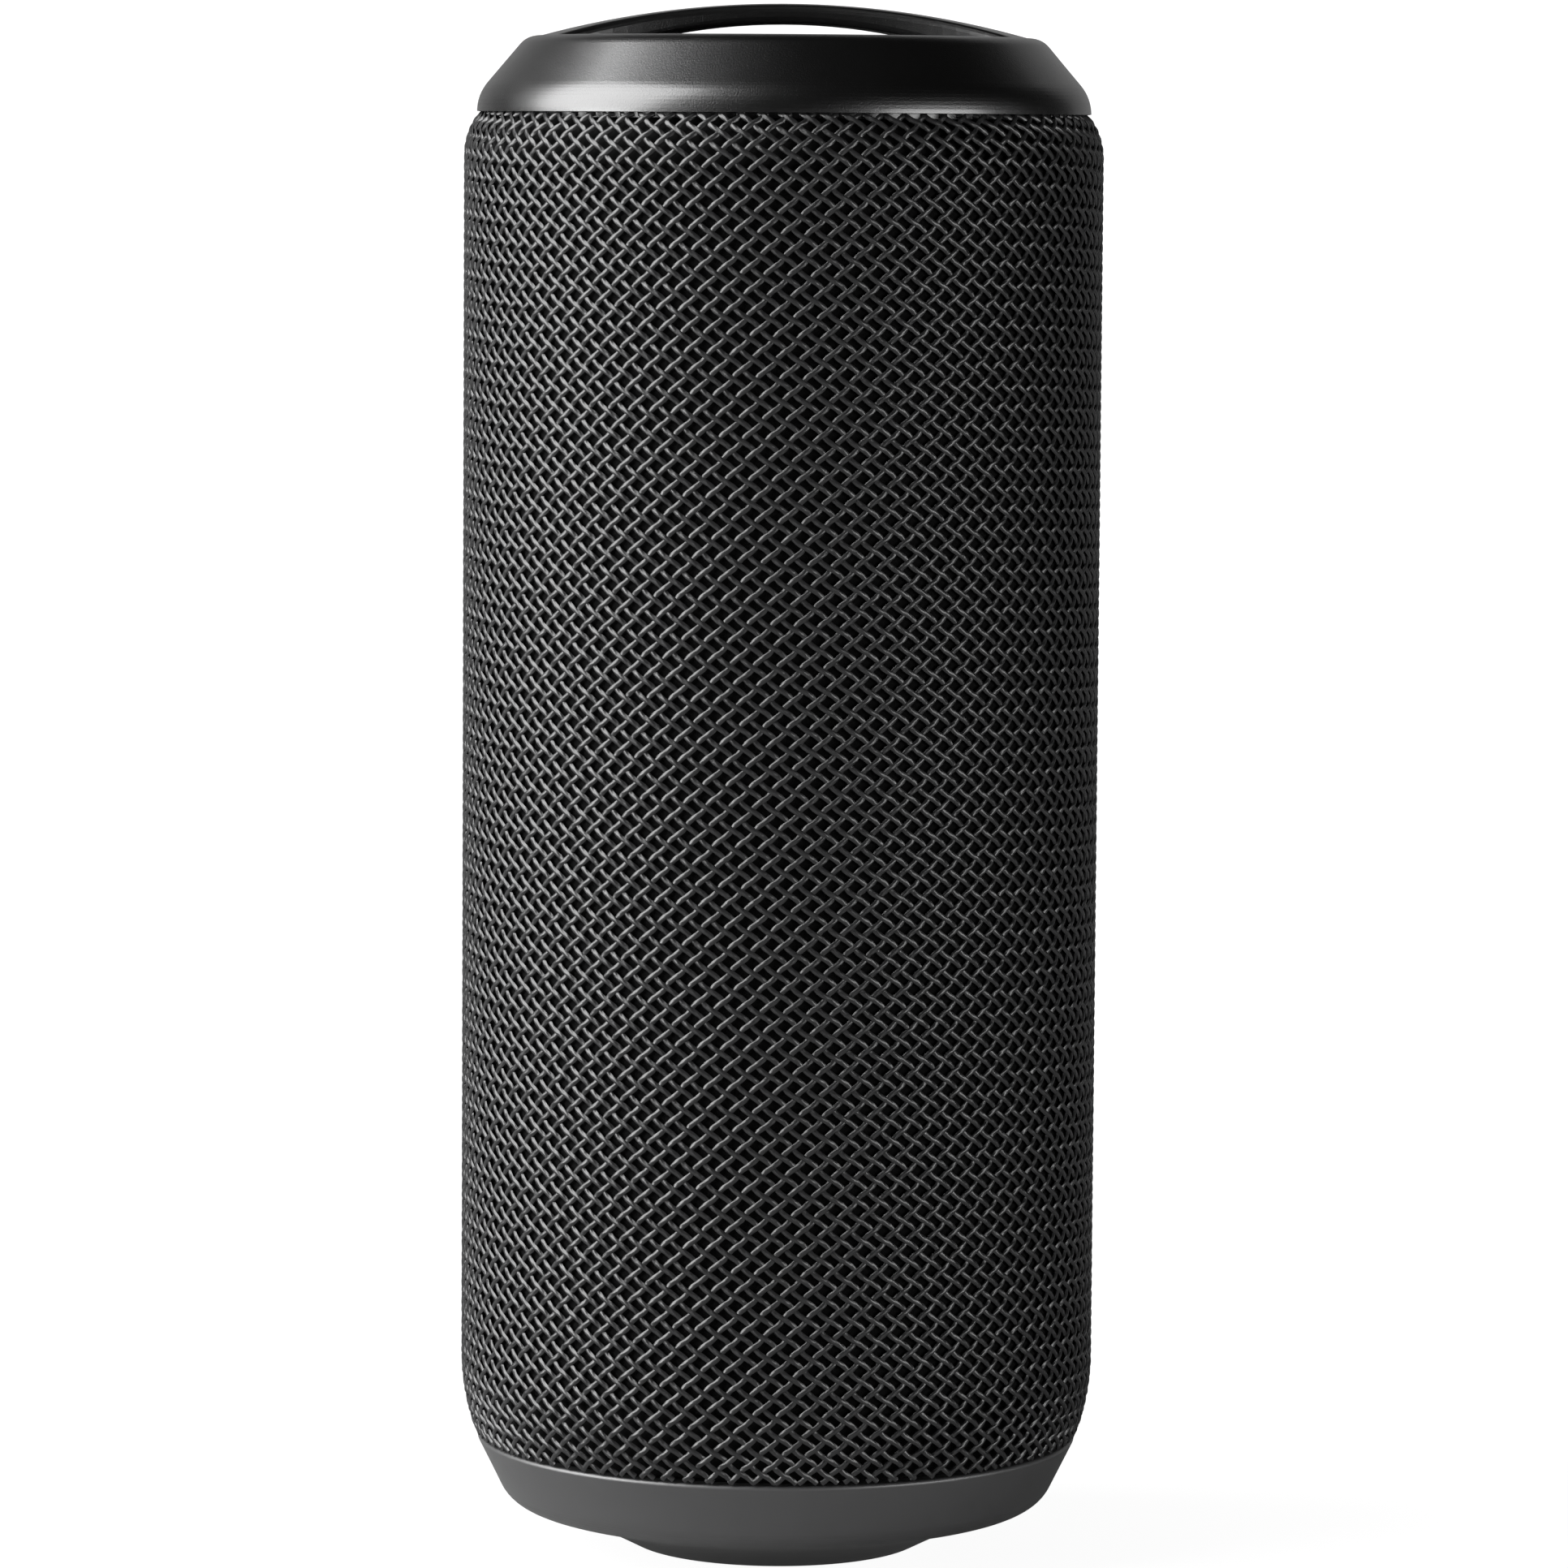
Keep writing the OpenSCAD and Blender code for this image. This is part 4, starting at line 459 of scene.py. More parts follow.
def runs(points, s):
    """The stretches of a yarn, as a band and the numbers of its points, cut at the window."""
    edges = [int(np.argmin(np.abs(s - YARN_L * k / BANDS))) for k in range(BANDS + 1)]
    outside = ~in_window(points)
    for band in range(BANDS):
        low, high = edges[band], edges[band + 1]
        cuts = np.flatnonzero(np.diff(outside[low:high + 1].astype(int))) + 1
        for piece in np.split(np.arange(low, high + 1), cuts):
            if len(piece) > 1 and outside[piece[0]]:
                yield band, piece


threads = [
    {"points": [], "phase": [], "faces": [], "sizes": [], "count": 0} for _ in range(BANDS)
]
for family, other in ((FALLING, RISING), (RISING, FALLING)):
    for number in range(family["count"]):
        points, s = yarn_path(family, other, number)
        rings, phase = yarn_rings(points)
        for band, piece in runs(points, s):
            thread = threads[band]
            skin, low_end, high_end = yarn_faces(len(piece))
            corners = np.concatenate([skin.ravel(), low_end, high_end]) + thread["count"]
            thread["faces"].append(corners)
            thread["sizes"].append(np.array([4] * len(skin) + [SIDES, SIDES]))
            thread["points"].append(rings[piece].reshape(-1, 3))
            thread["phase"].append(phase[piece].ravel())
            thread["count"] += len(piece) * SIDES

weave = []
for number, thread in enumerate(threads):
    sizes = np.concatenate(thread["sizes"])
    corners = np.concatenate(thread["faces"])
    mesh = bpy.data.meshes.new(f"sleeve_weave_{number + 1}")
    mesh.vertices.add(thread["count"])
    mesh.vertices.foreach_set("co", np.concatenate(thread["points"]).ravel())
    mesh.loops.add(len(corners))
    mesh.loops.foreach_set("vertex_index", corners)
    mesh.polygons.add(len(sizes))
    mesh.polygons.foreach_set("loop_start", np.concatenate([[0], np.cumsum(sizes)[:-1]]))
    mesh.update(calc_edges=True)
    plies = mesh.attributes.new("ply", "FLOAT", "POINT")
    plies.data.foreach_set("value", np.concatenate(thread["phase"]))
    band = bpy.data.objects.new(mesh.name, mesh)
    scene.collection.objects.link(band)
    pick(band)
    bpy.ops.object.shade_smooth_by_angle(angle=YARN_SMOOTH)
    weave.append(band)
print("The sleeve has", sum(len(band.data.polygons) for band in weave), "faces")

# %% [markdown]
# ## The scrim under the weave
# Under its open weave the sleeve is backed with a thin black scrim that lies on the
# grille. It is a dark sheet put there as painted shade: it keeps the holes dark and
# hides the white background that would show through where windows of the grille line
# up. It is a tube without ends, notched round the sockets: a cut across the tube gives
# the notch its upper edge, and the strips below it are deleted. The two rims are drawn
# out as hems, and Solidify gives the cloth its thickness.

# %% Scrim
def edit_all():
    """Puts the active piece in edit mode with all of it selected."""
    bpy.ops.object.mode_set(mode="EDIT")
    bpy.ops.mesh.select_all(action="SELECT")


def edit_only(kind, parts, wanted):
    """Puts the active piece in edit mode with only its wanted faces or edges selected."""
    bpy.ops.object.mode_set(mode="EDIT")
    bpy.ops.mesh.select_mode(type=kind)
    bpy.ops.mesh.select_all(action="DESELECT")
    bpy.ops.object.mode_set(mode="OBJECT")
    for part in parts:
        part.select = wanted(part)
    bpy.ops.object.mode_set(mode="EDIT")


SCRIM_UNDER_WEAVE = 0.25 * MM
SCRIM_R = BODY_R - SWING - 2 * HALF_THICKNESS - SCRIM_UNDER_WEAVE
SCRIM_SIDES = 128
SCRIM_THICK = 0.1 * MM
SCRIM_HEM, HEM_PULLED_IN = 1.2 * MM, 0.996
SCRIM_CLEAR = 0.8 * MM
SCRIM_BELOW_CURVE = 2 * MM
SCRIM_INTO_CURVE = 0.2 * MM
RIM_DEPTH = 0.01 * MM
scrim_low = sleeve_low.z + LOW_CURVE_H - SCRIM_INTO_CURVE
scrim_high = sleeve_high.z - HIGH_CURVE_H - SCRIM_BELOW_CURVE
scrim_l = scrim_high - scrim_low
bpy.ops.object.select_all(action="DESELECT")
bpy.ops.mesh.primitive_cylinder_add(
    vertices=SCRIM_SIDES, radius=SCRIM_R, depth=scrim_l,
    location=(0, 0, (scrim_low + scrim_high) / 2), end_fill_type="NOTHING",
)
scrim = bpy.context.object
scrim.name = "sleeve_scrim"
bpy.ops.object.transform_apply(location=True)
edit_all()
notch_top = bezel_high.z + SCRIM_CLEAR
bpy.ops.mesh.bisect(plane_co=(0, 0, notch_top), plane_no=(0, 0, 1))
bpy.ops.object.mode_set(mode="OBJECT")


def in_notch(face):
    """Whether a strip of the tube lies where the sockets' bezel comes through."""
    x, y, z = face.center
    return z < notch_top and y > 0 and abs(x) < bezel_high.x + SCRIM_CLEAR


notch_area = sum(face.area for face in scrim.data.polygons if in_notch(face))
edit_only("FACE", scrim.data.polygons, in_notch)
bpy.ops.mesh.delete(type="FACE")
for end in (1, -1):
    bpy.ops.object.mode_set(mode="OBJECT")
    heights = [end * vertex.co.z for vertex in scrim.data.vertices]
    rim = max(heights) - RIM_DEPTH
    edit_only("EDGE", scrim.data.edges, lambda edge: all(heights[v] > rim for v in edge.vertices))
    bpy.ops.mesh.extrude_edges_move(TRANSFORM_OT_translate={"value": (0, 0, end * SCRIM_HEM)})
    bpy.ops.transform.resize(
        value=(HEM_PULLED_IN, HEM_PULLED_IN, 1), center_override=(0, 0, 0)
    )
bpy.ops.object.mode_set(mode="OBJECT")
cloth = scrim.modifiers.new("thickness", "SOLIDIFY")
cloth.thickness, cloth.offset = SCRIM_THICK, -1
bpy.ops.object.modifier_apply(modifier=cloth.name)
bpy.ops.object.shade_smooth_by_angle(angle=SMOOTH)
print("The scrim is", round(scrim_l / MM, 1), "mm long, with", len(scrim.data.polygons), "faces")

# %% [markdown]
# ## Suspensions that flex
# A cone and a radiator plate hang in a rubber surround, and the neck of a cone in a
# cloth spider. The inner edge of such a ring goes with the cone and its outer edge
# stays. A ring flexes along all its radii, so each ring is cut into eight sectors along
# its radii. A cut lies halfway between the lines of its two sectors. A radiator is a
# long oval, and its straight sides belong to the two sectors beside them. The sectors
# are only cut here; nothing in this script makes them flex.

# %% Cut a ring into sectors
WELD = 0.001 * MM
SECTORS = 8
HALF_SECTOR = math.pi / SECTORS
AXIS_X, AXIS_Z = Vector((1, 0, 0)), Vector((0, 0, 1))
LEVEL = 1e-6


def ray(angle):
    """The direction at an angle in the upright plane of the speaker's width and height."""
    return math.cos(angle) * AXIS_X + math.sin(angle) * AXIS_Z


def upper_or_lower(angle):
    """Which end of the straight sides an angle belongs to: 1, -1, or 0 when it is level."""
    return 0 if abs(math.sin(angle)) < LEVEL else math.copysign(1, math.sin(angle))


def flexing_ring(node, inner_r, outer_r, half_straight=0.0):
    """Replaces a ring by sectors cut along its radii; inner_r and outer_r are not used."""
    low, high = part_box(node)
    middle = (low + high) / 2
    sectors = []
    for number in range(SECTORS):
        angle = 2 * math.pi * number / SECTORS
        piece = bpy.data.objects.new(f"{node}_{number + 1}", nodes[node].data.copy())
        scene.collection.objects.link(piece)
        pick(piece)
        edit_all()
        bpy.ops.mesh.remove_doubles(threshold=WELD)
        cuts = [(middle, -ray(angle))]
        for side in (1, -1):
            edge = angle + side * HALF_SECTOR
            end = middle + half_straight * upper_or_lower(edge) * AXIS_Z
            cuts.append((end, ray(edge + side * math.pi / 2)))
        for point, outward in cuts:
            bpy.ops.mesh.select_all(action="SELECT")
            bpy.ops.mesh.bisect(plane_co=point, plane_no=outward, use_fill=True, clear_outer=True)
        bpy.ops.object.mode_set(mode="OBJECT")
        bpy.ops.object.shade_smooth_by_angle(angle=SMOOTH)
        centre = middle + half_straight * upper_or_lower(angle) * AXIS_Z
        centre + outer_r * ray(angle)
        centre + inner_r * ray(angle)
        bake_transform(piece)
        sectors.append(piece)
    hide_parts(node)
    faces = sum(len(piece.data.polygons) for piece in sectors)
    print(node, "is now", SECTORS, "sectors, with", faces, "faces")
    return sectors


# %% [markdown]
# Each driver has a surround and a spider, and each radiator a surround. The radii say
# between which two circles a ring flexes.

# %% Flexing surrounds and spiders
SURROUND_INNER, SURROUND_OUTER = 16.45 * MM, 17.5 * MM
SPIDER_INNER, SPIDER_OUTER = 8.0 * MM, 12.4 * MM
RADIATOR_INNER, RADIATOR_OUTER = 14.85 * MM, 16.3 * MM
flexing = []
for side in ("front", "rear"):
    low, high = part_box(f"{side}_radiator_surround")
    half_straight = (high.z - low.z - high.x + low.x) / 2
    flexing += flexing_ring(f"{side}_driver_surround", SURROUND_INNER, SURROUND_OUTER)
    flexing += flexing_ring(f"{side}_driver_spider", SPIDER_INNER, SPIDER_OUTER)
    flexing += flexing_ring(
        f"{side}_radiator_surround", RADIATOR_INNER, RADIATOR_OUTER, half_straight
    )

# %% [markdown]
# ## Signs on the keys
# The five keys under the handle carry a power ring, a radio sign, a minus, a play and
# pause sign and a plus. On keys of this kind they are moulded about a tenth of a
# millimetre proud in a paler rubber. Text objects would bring a font and flat ends, so
# each sign is built from three small forms: a bar, an arc spun from its own section, and
# a wedge. All of them sink a little into the key, so that no light gets under them.

# %% Small forms for the signs
SIGN_PROUD = 0.12 * MM
SIGN_SUNK = 0.06 * MM
SIGN_THICK = SIGN_PROUD + SIGN_SUNK
SIGN_EDGE = 0.05 * MM
STROKE = 0.62 * MM
ARC_STEP, ARC_STEPS = 0.25 * MM, 8
FACING = 0.9


def sign_form(piece, place, turn=0.0):
    """Gives a form its soft edges and puts it down at its place on a key."""
    edges = piece.modifiers.new("soft edges", "BEVEL")
    edges.width, edges.segments, edges.limit_method = SIGN_EDGE, 2, "ANGLE"
    bpy.ops.object.modifier_apply(modifier=edges.name)
    piece.location = place + Vector((0, 0, (SIGN_PROUD - SIGN_SUNK) / 2))
    piece.rotation_euler.z = turn
    bpy.ops.object.transform_apply(location=True, rotation=True, scale=True)
    bpy.ops.object.shade_smooth_by_angle(angle=SMOOTH)
    return piece


def bar(place, length, width=STROKE, turn=0.0):
    """A bar with tapered ends: a short block whose end faces are drawn out and narrowed."""
    bpy.ops.object.select_all(action="DESELECT")
    bpy.ops.mesh.primitive_cube_add(size=1)
    piece = bpy.context.object
    piece.scale = (length - width / 2, width, SIGN_THICK)
    bpy.ops.object.transform_apply(scale=True)
    for end in (1, -1):
        edit_only("FACE", piece.data.polygons, lambda face: end * face.normal.x > FACING)
        bpy.ops.mesh.extrude_region_move(TRANSFORM_OT_translate={"value": (end * width / 4, 0, 0)})
        bpy.ops.transform.resize(value=(1, 0.5, 1))
        bpy.ops.object.mode_set(mode="OBJECT")
    return sign_form(piece, place, turn)


def arc(place, radius, low, high, width=STROKE):
    """An arc from one angle to another: a section that is spun, with its ends filled.

    The spin runs clockwise, so the section is put down at the higher angle.
    """
    bpy.ops.object.select_all(action="DESELECT")
    bpy.ops.mesh.primitive_plane_add(size=1)
    piece = bpy.context.object
    piece.scale = (width, SIGN_THICK, 1)
    piece.rotation_euler = (math.pi / 2, 0, 0)
    piece.location = (radius, 0, 0)
    bpy.ops.object.transform_apply(location=True, rotation=True, scale=True)
    edit_all()
    bpy.ops.mesh.delete(type="ONLY_FACE")
    bpy.ops.mesh.select_all(action="SELECT")
    steps = max(ARC_STEPS, round(radius * (high - low) / ARC_STEP))
    bpy.ops.mesh.spin(steps=steps, angle=high - low, center=(0, 0, 0), axis=(0, 0, 1))
    bpy.ops.mesh.select_all(action="SELECT")
    bpy.ops.mesh.remove_doubles(threshold=WELD)
    bpy.ops.mesh.fill_holes(sides=4)
    bpy.ops.mesh.select_all(action="SELECT")
    bpy.ops.mesh.normals_make_consistent(inside=False)
    bpy.ops.object.mode_set(mode="OBJECT")
    return sign_form(piece, place, high)


def wedge(place, size):
    """The triangle of a play sign, turned so that its tip points along X."""
    bpy.ops.object.select_all(action="DESELECT")
    bpy.ops.mesh.primitive_cylinder_add(vertices=3, radius=size, depth=SIGN_THICK)
    return sign_form(bpy.context.object, place, -math.pi / 2)


def joined(name, forms):
    """One piece from several forms."""
    pick(*forms)
    if len(forms) > 1:
        bpy.ops.object.join()
    bpy.context.object.name = name
    return bpy.context.object


print("A sign stands", SIGN_PROUD / MM, "mm proud")

# %% [markdown]
# The power ring is open from 122 to 186 degrees, counted from X, so to the left of its
# upright bar at 90, and not round the bar as on most power signs. The bowed strokes of
# the radio sign share a middle below them.

# %% The five signs
def key_top(node):
    """The middle of a key's upper face."""
    low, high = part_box(node)
    return Vector(((low.x + high.x) / 2, (low.y + high.y) / 2, high.z))


def shifted(place, x, y):
    """The place that lies x and y millimetres from another one."""
    return place + Vector((x * MM, y * MM, 0))


UP = math.pi / 2
RING_R, RING_OPEN_LOW, RING_OPEN_HIGH = 1.75 * MM, math.radians(122), math.radians(186)
WAVE_SPREAD, WAVE_RADII = 0.75, (3.3 * MM, 1.9 * MM)
LONG_BAR, PAUSE_BAR, PLUS_ARM = 3.6 * MM, 2.5 * MM, 1.5 * MM
PAUSE_WIDTH = 0.55 * MM

power, pairing = key_top("key_power"), key_top("key_pairing")
quieter, play = key_top("key_volume_down"), key_top("key_play_pause")
louder = key_top("key_volume_up")
waves = shifted(pairing, 0, -1.6)
signs = {
    "sign_power": ("key_power_body", [
        arc(power, RING_R, RING_OPEN_HIGH - 2 * math.pi, RING_OPEN_LOW),
        bar(shifted(power, 0, 1.3), 1.9 * MM, turn=UP),
    ]),
    "sign_pairing": ("key_pairing_body", [
        *(arc(waves, radius, UP - WAVE_SPREAD, UP + WAVE_SPREAD) for radius in WAVE_RADII),
        bar(shifted(pairing, 0, -1.4), 0.95 * MM, 0.8 * MM),
    ]),
    "sign_volume_down": ("key_volume_down_body", [bar(quieter, LONG_BAR)]),
    "sign_play_pause": ("key_play_pause_body", [
        wedge(shifted(play, -1.05, 0), 1.5 * MM),
        *(bar(shifted(play, x, 0), PAUSE_BAR, PAUSE_WIDTH, UP) for x in (1.15, 2.15)),
    ]),
    "sign_volume_up": ("key_volume_up_body", [
        bar(louder, LONG_BAR),
        *(bar(shifted(louder, 0, y), PLUS_ARM, turn=UP) for y in (1.05, -1.05)),
    ]),
}
printed = []
for name, (body, forms) in signs.items():
    sign = joined(name, forms)
    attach(sign, body)
    printed.append(sign)
print("Signs:", [(sign.name, len(sign.data.polygons)) for sign in printed])

# %% [markdown]
# ## The grip on the port cover
# The rubber door over the sockets is opened with a fingernail. Along its free edge it
# has four upright ribs that the nail catches on. One rib is modelled, as a block whose
# outer face is drawn out and narrowed, and all four are turned copies of it, the first
# of them 1.4 steps in from the free edge.

# %% Ribs of the port cover
RIBS = 4
RIB_STEP = math.radians(1.9)
FIRST_RIB = 1.4
RIB_WIDE, RIB_PROUD, RIB_SUNK = 0.7 * MM, 0.3 * MM, 0.3 * MM
RIB_EDGE = 0.1 * MM
RIB_SHARE = 0.62
NARROWED, LOWERED = 0.45, 0.94
cover_low, cover_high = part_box("port_cover")
rib_height = RIB_SHARE * (cover_high.z - cover_low.z)
bpy.ops.object.select_all(action="DESELECT")
bpy.ops.mesh.primitive_cube_add(size=1)
rib = bpy.context.object
rib.scale = (RIB_WIDE, RIB_SUNK, rib_height)
rib.location = (0, cover_high.y - RIB_SUNK / 2, (cover_low.z + cover_high.z) / 2)
bpy.ops.object.transform_apply(location=True, scale=True)
edit_only("FACE", rib.data.polygons, lambda face: face.normal.y > FACING)
bpy.ops.mesh.extrude_region_move(TRANSFORM_OT_translate={"value": (0, RIB_PROUD, 0)})
bpy.ops.transform.resize(value=(NARROWED, 1, LOWERED))
bpy.ops.object.mode_set(mode="OBJECT")
edges = rib.modifiers.new("soft edges", "BEVEL")
edges.width, edges.segments = RIB_EDGE, 3
bpy.ops.object.modifier_apply(modifier=edges.name)
free_edge = math.asin(cover_high.x / cover_high.y)
ribs = []
for number in range(RIBS):
    copy = bpy.data.objects.new(f"port_rib_{number + 1}", rib.data.copy())
    scene.collection.objects.link(copy)
    pick(copy)
    copy.rotation_euler.z = -(free_edge - (number + FIRST_RIB) * RIB_STEP)
    bpy.ops.object.transform_apply(rotation=True)
    bpy.ops.object.shade_smooth_by_angle(angle=SMOOTH)
    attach(copy, "port_cover_body")
    ribs.append(copy)
bpy.data.objects.remove(rib)
print(RIBS, "ribs, each", round(rib_height / MM, 1), "mm high")

# %% [markdown]
# ## Finishes
# Moulded plastic is never one flat tone. A spark-eroded mould leaves a fine grain, and
# handling polishes some patches more than others. The grain goes into the bump and the
# patches into the roughness and, very weakly, into the colour. The same few families do
# for all the pieces: moulded plastic, rubber, plated metal, and those with a pattern of
# their own.

# %% Families of finishes
def lighter(colour, times):
    """A colour made so many times lighter, and darker below 1."""
    return tuple(min(1.0, times * value) for value in colour)


def moulded(name, colour, roughness, grain=0.22 * MM, depth=0.006 * MM, **sockets):
    """Plastic from a mould with a fine grain, a little more polished here and there."""
    finish = Finish(name, colour, roughness, **sockets)
    patches = finish.noise(7 * MM)
    finish.set("Base Color", finish.blend(patches, colour, lighter(colour, 1.5)))
    finish.set("Roughness", 0.1 * patches + (roughness - 0.05))
    finish.bump(finish.noise(grain, 3.0), depth)
    return finish


def rubber(name, colour, roughness, **sockets):
    """Rubber: matte, with a powdery bloom and a soft orange-peel skin."""
    finish = Finish(name, colour, roughness, **sockets)
    bloom = finish.noise(3 * MM, 4.0)
    finish.set("Base Color", finish.blend(bloom, lighter(colour, 0.85), lighter(colour, 1.2)))
    finish.set("Roughness", 0.14 * bloom + (roughness - 0.07))
    finish.bump(finish.noise(0.3 * MM, 4.0) + 0.5 * finish.noise(0.9 * MM), 0.012 * MM)
    return finish


def plated(name, colour, roughness, **sockets):
    """Plated steel: drawn out fine scratches along the height."""
    finish = Finish(name, colour, roughness, Metallic=1.0, **sockets)
    drawn = finish.add("ShaderNodeMapping", {"Vector": finish.place(), "Scale": (1, 1, 0.08)})
    scratches = finish.noise(0.12 * MM, 2.0, drawn)
    finish.set("Base Color", finish.blend(scratches, lighter(colour, 0.8), lighter(colour, 1.15)))
    finish.set("Roughness", 0.3 * scratches + (roughness - 0.15))
    finish.bump(scratches, 0.002 * MM)
    return finish


def lines(finish, direction, pitch, kind="BANDS"):
    """Waves from 0 to 1, a pitch apart, along an axis or in rings round one."""
    settings = {"wave_type": kind, f"{kind.lower()}_direction": direction}
    sockets = {"Vector": finish.place(), "Scale": math.pi / 10 / pitch}
    return finish.add("ShaderNodeTexWave", sockets, output="Fac", **settings)


def cells(finish, size):
    """How far a place is from the middle of its cell, in a pattern of cells of that size."""
    sockets = {"Vector": finish.place(), "Scale": 1 / size}
    return finish.add("ShaderNodeTexVoronoi", sockets, output="Distance")


print("Finishes for plastic, rubber and plated steel are ready")

# %% [markdown]
# The yarn is black polyester. Its two plies catch the light one after the other, so the
# highlight along it is broken into short bright flecks.

# %% Yarn
yarn = Finish("yarn", (0.014, 0.014, 0.0145), 0.38, Specular_IOR_Level=1.0)
ply = yarn.add("ShaderNodeAttribute", output="Fac", attribute_name="ply")
groove = yarn.add("ShaderNodeMath", {0: ply}, operation="SINE")
fuzz = yarn.noise(0.35 * MM)
yarn.set("Roughness", 0.16 * fuzz + 0.3)
yarn.bump(groove + 1.2 * fuzz, 0.03 * MM, 0.6)
for band in weave:
    band.data.materials.append(yarn.material)
    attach(band, "speaker_body")
    2 * math.pi * (BODY_R - SWING - HALF_THICKNESS)
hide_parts("fabric_sleeve")

# Painted shade: the scrim's near-black colour keeps the holes of the weave dark.
backing = Finish("scrim", (0.004, 0.004, 0.004), 0.9, Specular_IOR_Level=0.1)
scrim_cells = cells(backing, 0.4 * MM)
backing.set("Base Color", backing.blend(scrim_cells, (0.003, 0.003, 0.003), (0.006, 0.006, 0.006)))
backing.bump(scrim_cells, 0.05 * MM)
scrim.data.materials.append(backing.material)
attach(scrim, "speaker_body")
2 * math.pi * SCRIM_R
2 * math.pi * SCRIM_R * (scrim_l + 2 * SCRIM_HEM) - notch_area
print("The yarn's finish has", len(yarn.tree.nodes), "nodes")

# %% [markdown]
# The cap is satin black with a clear hard coat. Only what is in the open is coated: its
# skirt runs on down inside the sleeve, and there the mould's matte face stays, so nothing
# glints through the cloth.

# %% Cap
COVERED, COAT_FADES = 0.3 * MM, 0.5 * MM
MATTE, SATIN_GAIN = 0.95, 0.68
collar_low = sleeve_high.z - COVERED
cap = Finish(
    "cap_gloss", (0.002, 0.002, 0.002), 0.3,
    Specular_IOR_Level=0.8, Coat_Roughness=0.26, Coat_IOR=1.6,
)
height = cap.add("ShaderNodeSeparateXYZ", {0: cap.place()}, output="Z")
edge = {"Value": height, "From Min": collar_low - COAT_FADES, "From Max": collar_low}
open_air = cap.add("ShaderNodeMapRange", edge)
patches = cap.noise(9 * MM)
speckle = cap.noise(0.18 * MM, 4.0)
cap.set("Base Color", cap.blend(patches, (0.0015, 0.0015, 0.0015), (0.003, 0.003, 0.003)))
cap.set("Roughness", MATTE - open_air * (SATIN_GAIN - 0.04 * patches - 0.04 * speckle))
cap.set("Coat Weight", open_air)
cap.bump(speckle, 0.05 * MM)
print("The cap is coated above", round(collar_low / MM, 1), "mm")

# %% [markdown]
# What lies behind the open weave gets a dull black, darker than these parts' own black,
# as painted shade, so that the holes of the cloth read as dark. Pieces deeper in get the
# usual colours of such parts: green boards, copper coils, yellow spiders.

# %% All the other slots
# Painted shade: a black darker than these parts' own, for what is seen through the holes.
SHADE_BLACK = (0.005, 0.005, 0.005)
DULL = {"Specular_IOR_Level": 0.1}
SHEEN = {"Specular_IOR_Level": 1.0, "Coat_Weight": 1.0, "Coat_Roughness": 0.5, "Coat_IOR": 1.8}
made = {
    "cap_gloss": cap,
    "woven_fabric": yarn,
    "bowl_plastic": moulded("bowl_plastic", (0.012, 0.012, 0.0125), 0.5),
    "key_rubber": rubber("key_rubber", (0.02, 0.02, 0.021), 0.55),
    "silicone": rubber("silicone", (0.08, 0.08, 0.08), 0.5),
    "switch_metal": plated("switch_metal", (0.5, 0.5, 0.52), 0.35),
    "components": moulded("components", (0.03, 0.03, 0.032), 0.45),
    "screw_steel": plated("screw_steel", (0.05, 0.05, 0.053), 0.5),
    "motor_steel": plated("motor_steel", (0.45, 0.45, 0.47), 0.4),
    "magnet": rubber("magnet", (0.04, 0.04, 0.043), 0.7),
    "inner_plastic": moulded("inner_plastic", SHADE_BLACK, 0.85, **DULL),
    "basket_plastic": moulded("basket_plastic", SHADE_BLACK, 0.85, **DULL),
    "surround_rubber": rubber("surround_rubber", SHADE_BLACK, 0.8, **DULL),
    "base_rubber": rubber("base_rubber", (0.04, 0.04, 0.041), 0.5, **SHEEN),
    "foot_rubber": rubber("foot_rubber", (0.05, 0.05, 0.051), 0.6),
    "sign": rubber("sign", (0.42, 0.42, 0.43), 0.6),
}

clear = Finish("clear_plastic", (0.8, 0.83, 0.85), 0.12, Transmission_Weight=0.9, IOR=1.49)
clear.set("Roughness", 0.2 * clear.noise(1 * MM) + 0.05)
clear.bump(clear.noise(0.5 * MM), 0.002 * MM)
made["clear_plastic"] = clear

board = Finish("circuit_board", (0.02, 0.12, 0.06), 0.35)
grid = {"Vector": board.place(), "Scale": 1 / (3 * MM), "Mortar Size": 0.06, "Mortar Smooth": 0.2}
tracks = board.add("ShaderNodeTexBrick", grid, output="Fac")
board.set("Base Color", board.blend(tracks, (0.015, 0.1, 0.05), (0.04, 0.2, 0.09)))
board.bump(tracks, 0.03 * MM)
made["circuit_board"] = board

foam = Finish("foam", (0.012, 0.012, 0.012), 0.95, **DULL)
pores = cells(foam, 0.5 * MM)
foam.set("Base Color", foam.blend(pores, (0.006, 0.006, 0.006), (0.016, 0.016, 0.016)))
foam.bump(pores, 0.15 * MM)
made["foam"] = foam

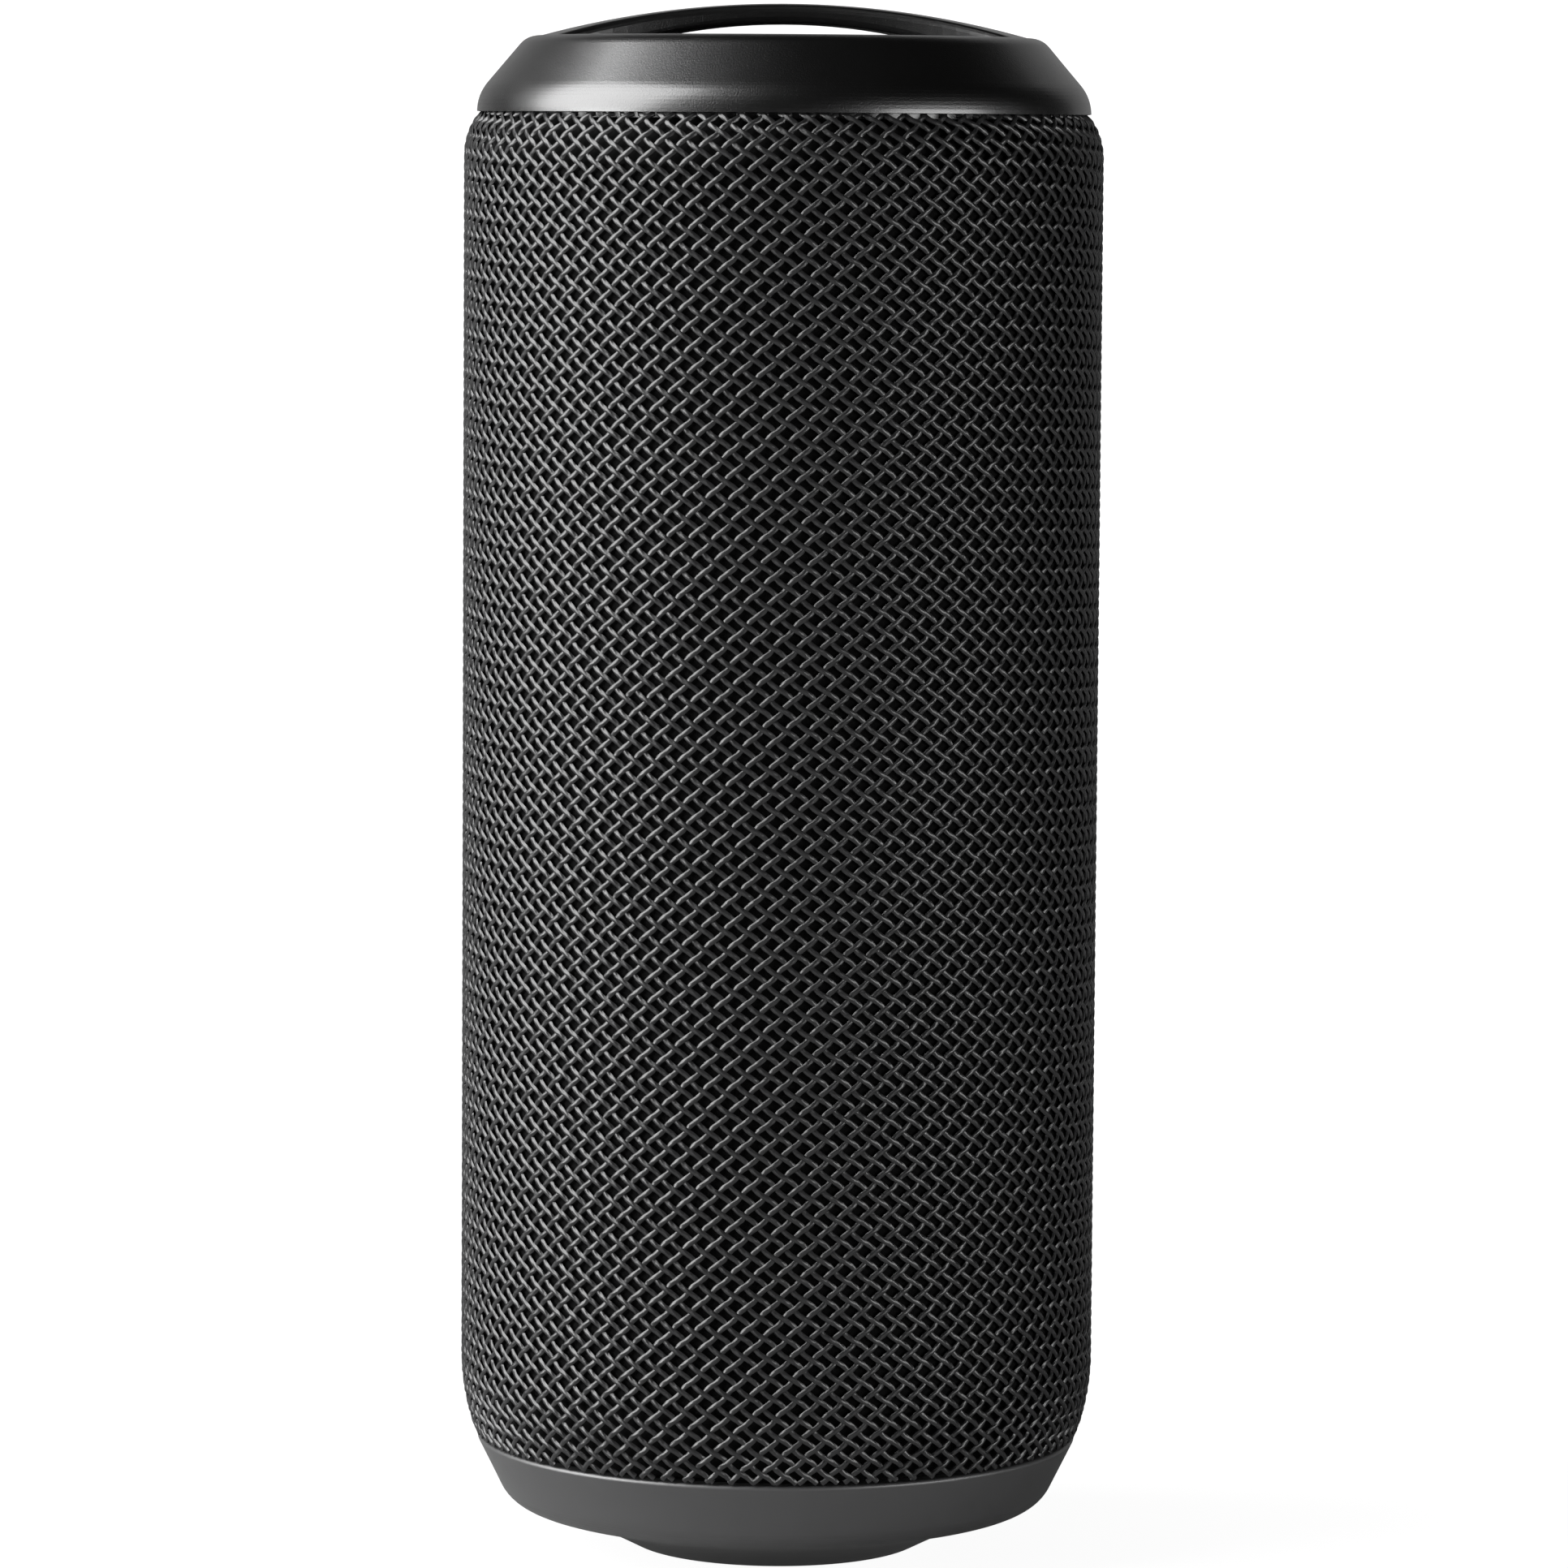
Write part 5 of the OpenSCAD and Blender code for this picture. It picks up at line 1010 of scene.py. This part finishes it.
coil = Finish("copper_coil", (0.55, 0.25, 0.1), 0.3, Metallic=1.0)
turns = lines(coil, "Y", 0.2 * MM)
coil.set("Base Color", coil.blend(turns, (0.3, 0.12, 0.05), (0.62, 0.3, 0.13)))
coil.bump(turns, 0.05 * MM)
made["copper_coil"] = coil

spider = Finish("spider_cloth", (0.5, 0.35, 0.1), 0.8)
mesh_threads = lines(spider, "X", 0.5 * MM) * lines(spider, "Z", 0.5 * MM)
spider.set("Base Color", spider.blend(mesh_threads, (0.3, 0.19, 0.05), (0.55, 0.4, 0.14)))
spider.bump(mesh_threads, 0.08 * MM)
made["spider_cloth"] = spider

for name, pitch in (("cone_pulp", 0.8 * MM), ("radiator_plate", 1.2 * MM)):
    disc = Finish(name, SHADE_BLACK, 0.85, **DULL)
    rings = lines(disc, "Y", pitch, "RINGS") + disc.noise(0.6 * MM, 4.0)
    disc.set("Base Color", disc.blend(disc.noise(2 * MM), SHADE_BLACK, lighter(SHADE_BLACK, 1.6)))
    disc.bump(rings, 0.02 * MM)
    made[name] = disc

wrap = Finish("cell_wrap", (0.05, 0.2, 0.3), 0.3)
long_folds = wrap.add("ShaderNodeMapping", {"Vector": wrap.place(), "Scale": (1, 1, 0.15)})
folds = wrap.noise(2 * MM, 2.0, long_folds)
wrap.set("Base Color", wrap.blend(folds, (0.03, 0.14, 0.22), (0.06, 0.23, 0.34)))
wrap.bump(folds, 0.1 * MM)
made["cell_wrap"] = wrap

slot_of = {part["node"]: part["material_slot"] for part in frame["record"]["subparts"]}
for node, slot in slot_of.items():
    nodes[node].data.materials.clear()
    nodes[node].data.materials.append(made[slot].material)
for piece in flexing:
    slot = slot_of[piece.name.rsplit("_", 1)[0]]
    piece.data.materials.clear()
    piece.data.materials.append(made[slot].material)
for sign in printed:
    sign.data.materials.append(made["sign"].material)
for rib in ribs:
    rib.data.materials.append(made["key_rubber"].material)
print(len(made), "finishes for", len(slot_of), "pieces of the frame")

# %% [markdown]
# ## Sizes
# Last, the box of the construction and the box of what is seen are put side by side.
# The yarns and signs stay within a fraction of a millimetre of the construction.

# %% Sizes and the end
low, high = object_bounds()
sizes = {"cad": [list(frame_low), list(frame_high)], "visual": [list(low), list(high)]}
print("The finished speaker is", [round((b - a) / MM, 1) for a, b in zip(low, high)], "mm")
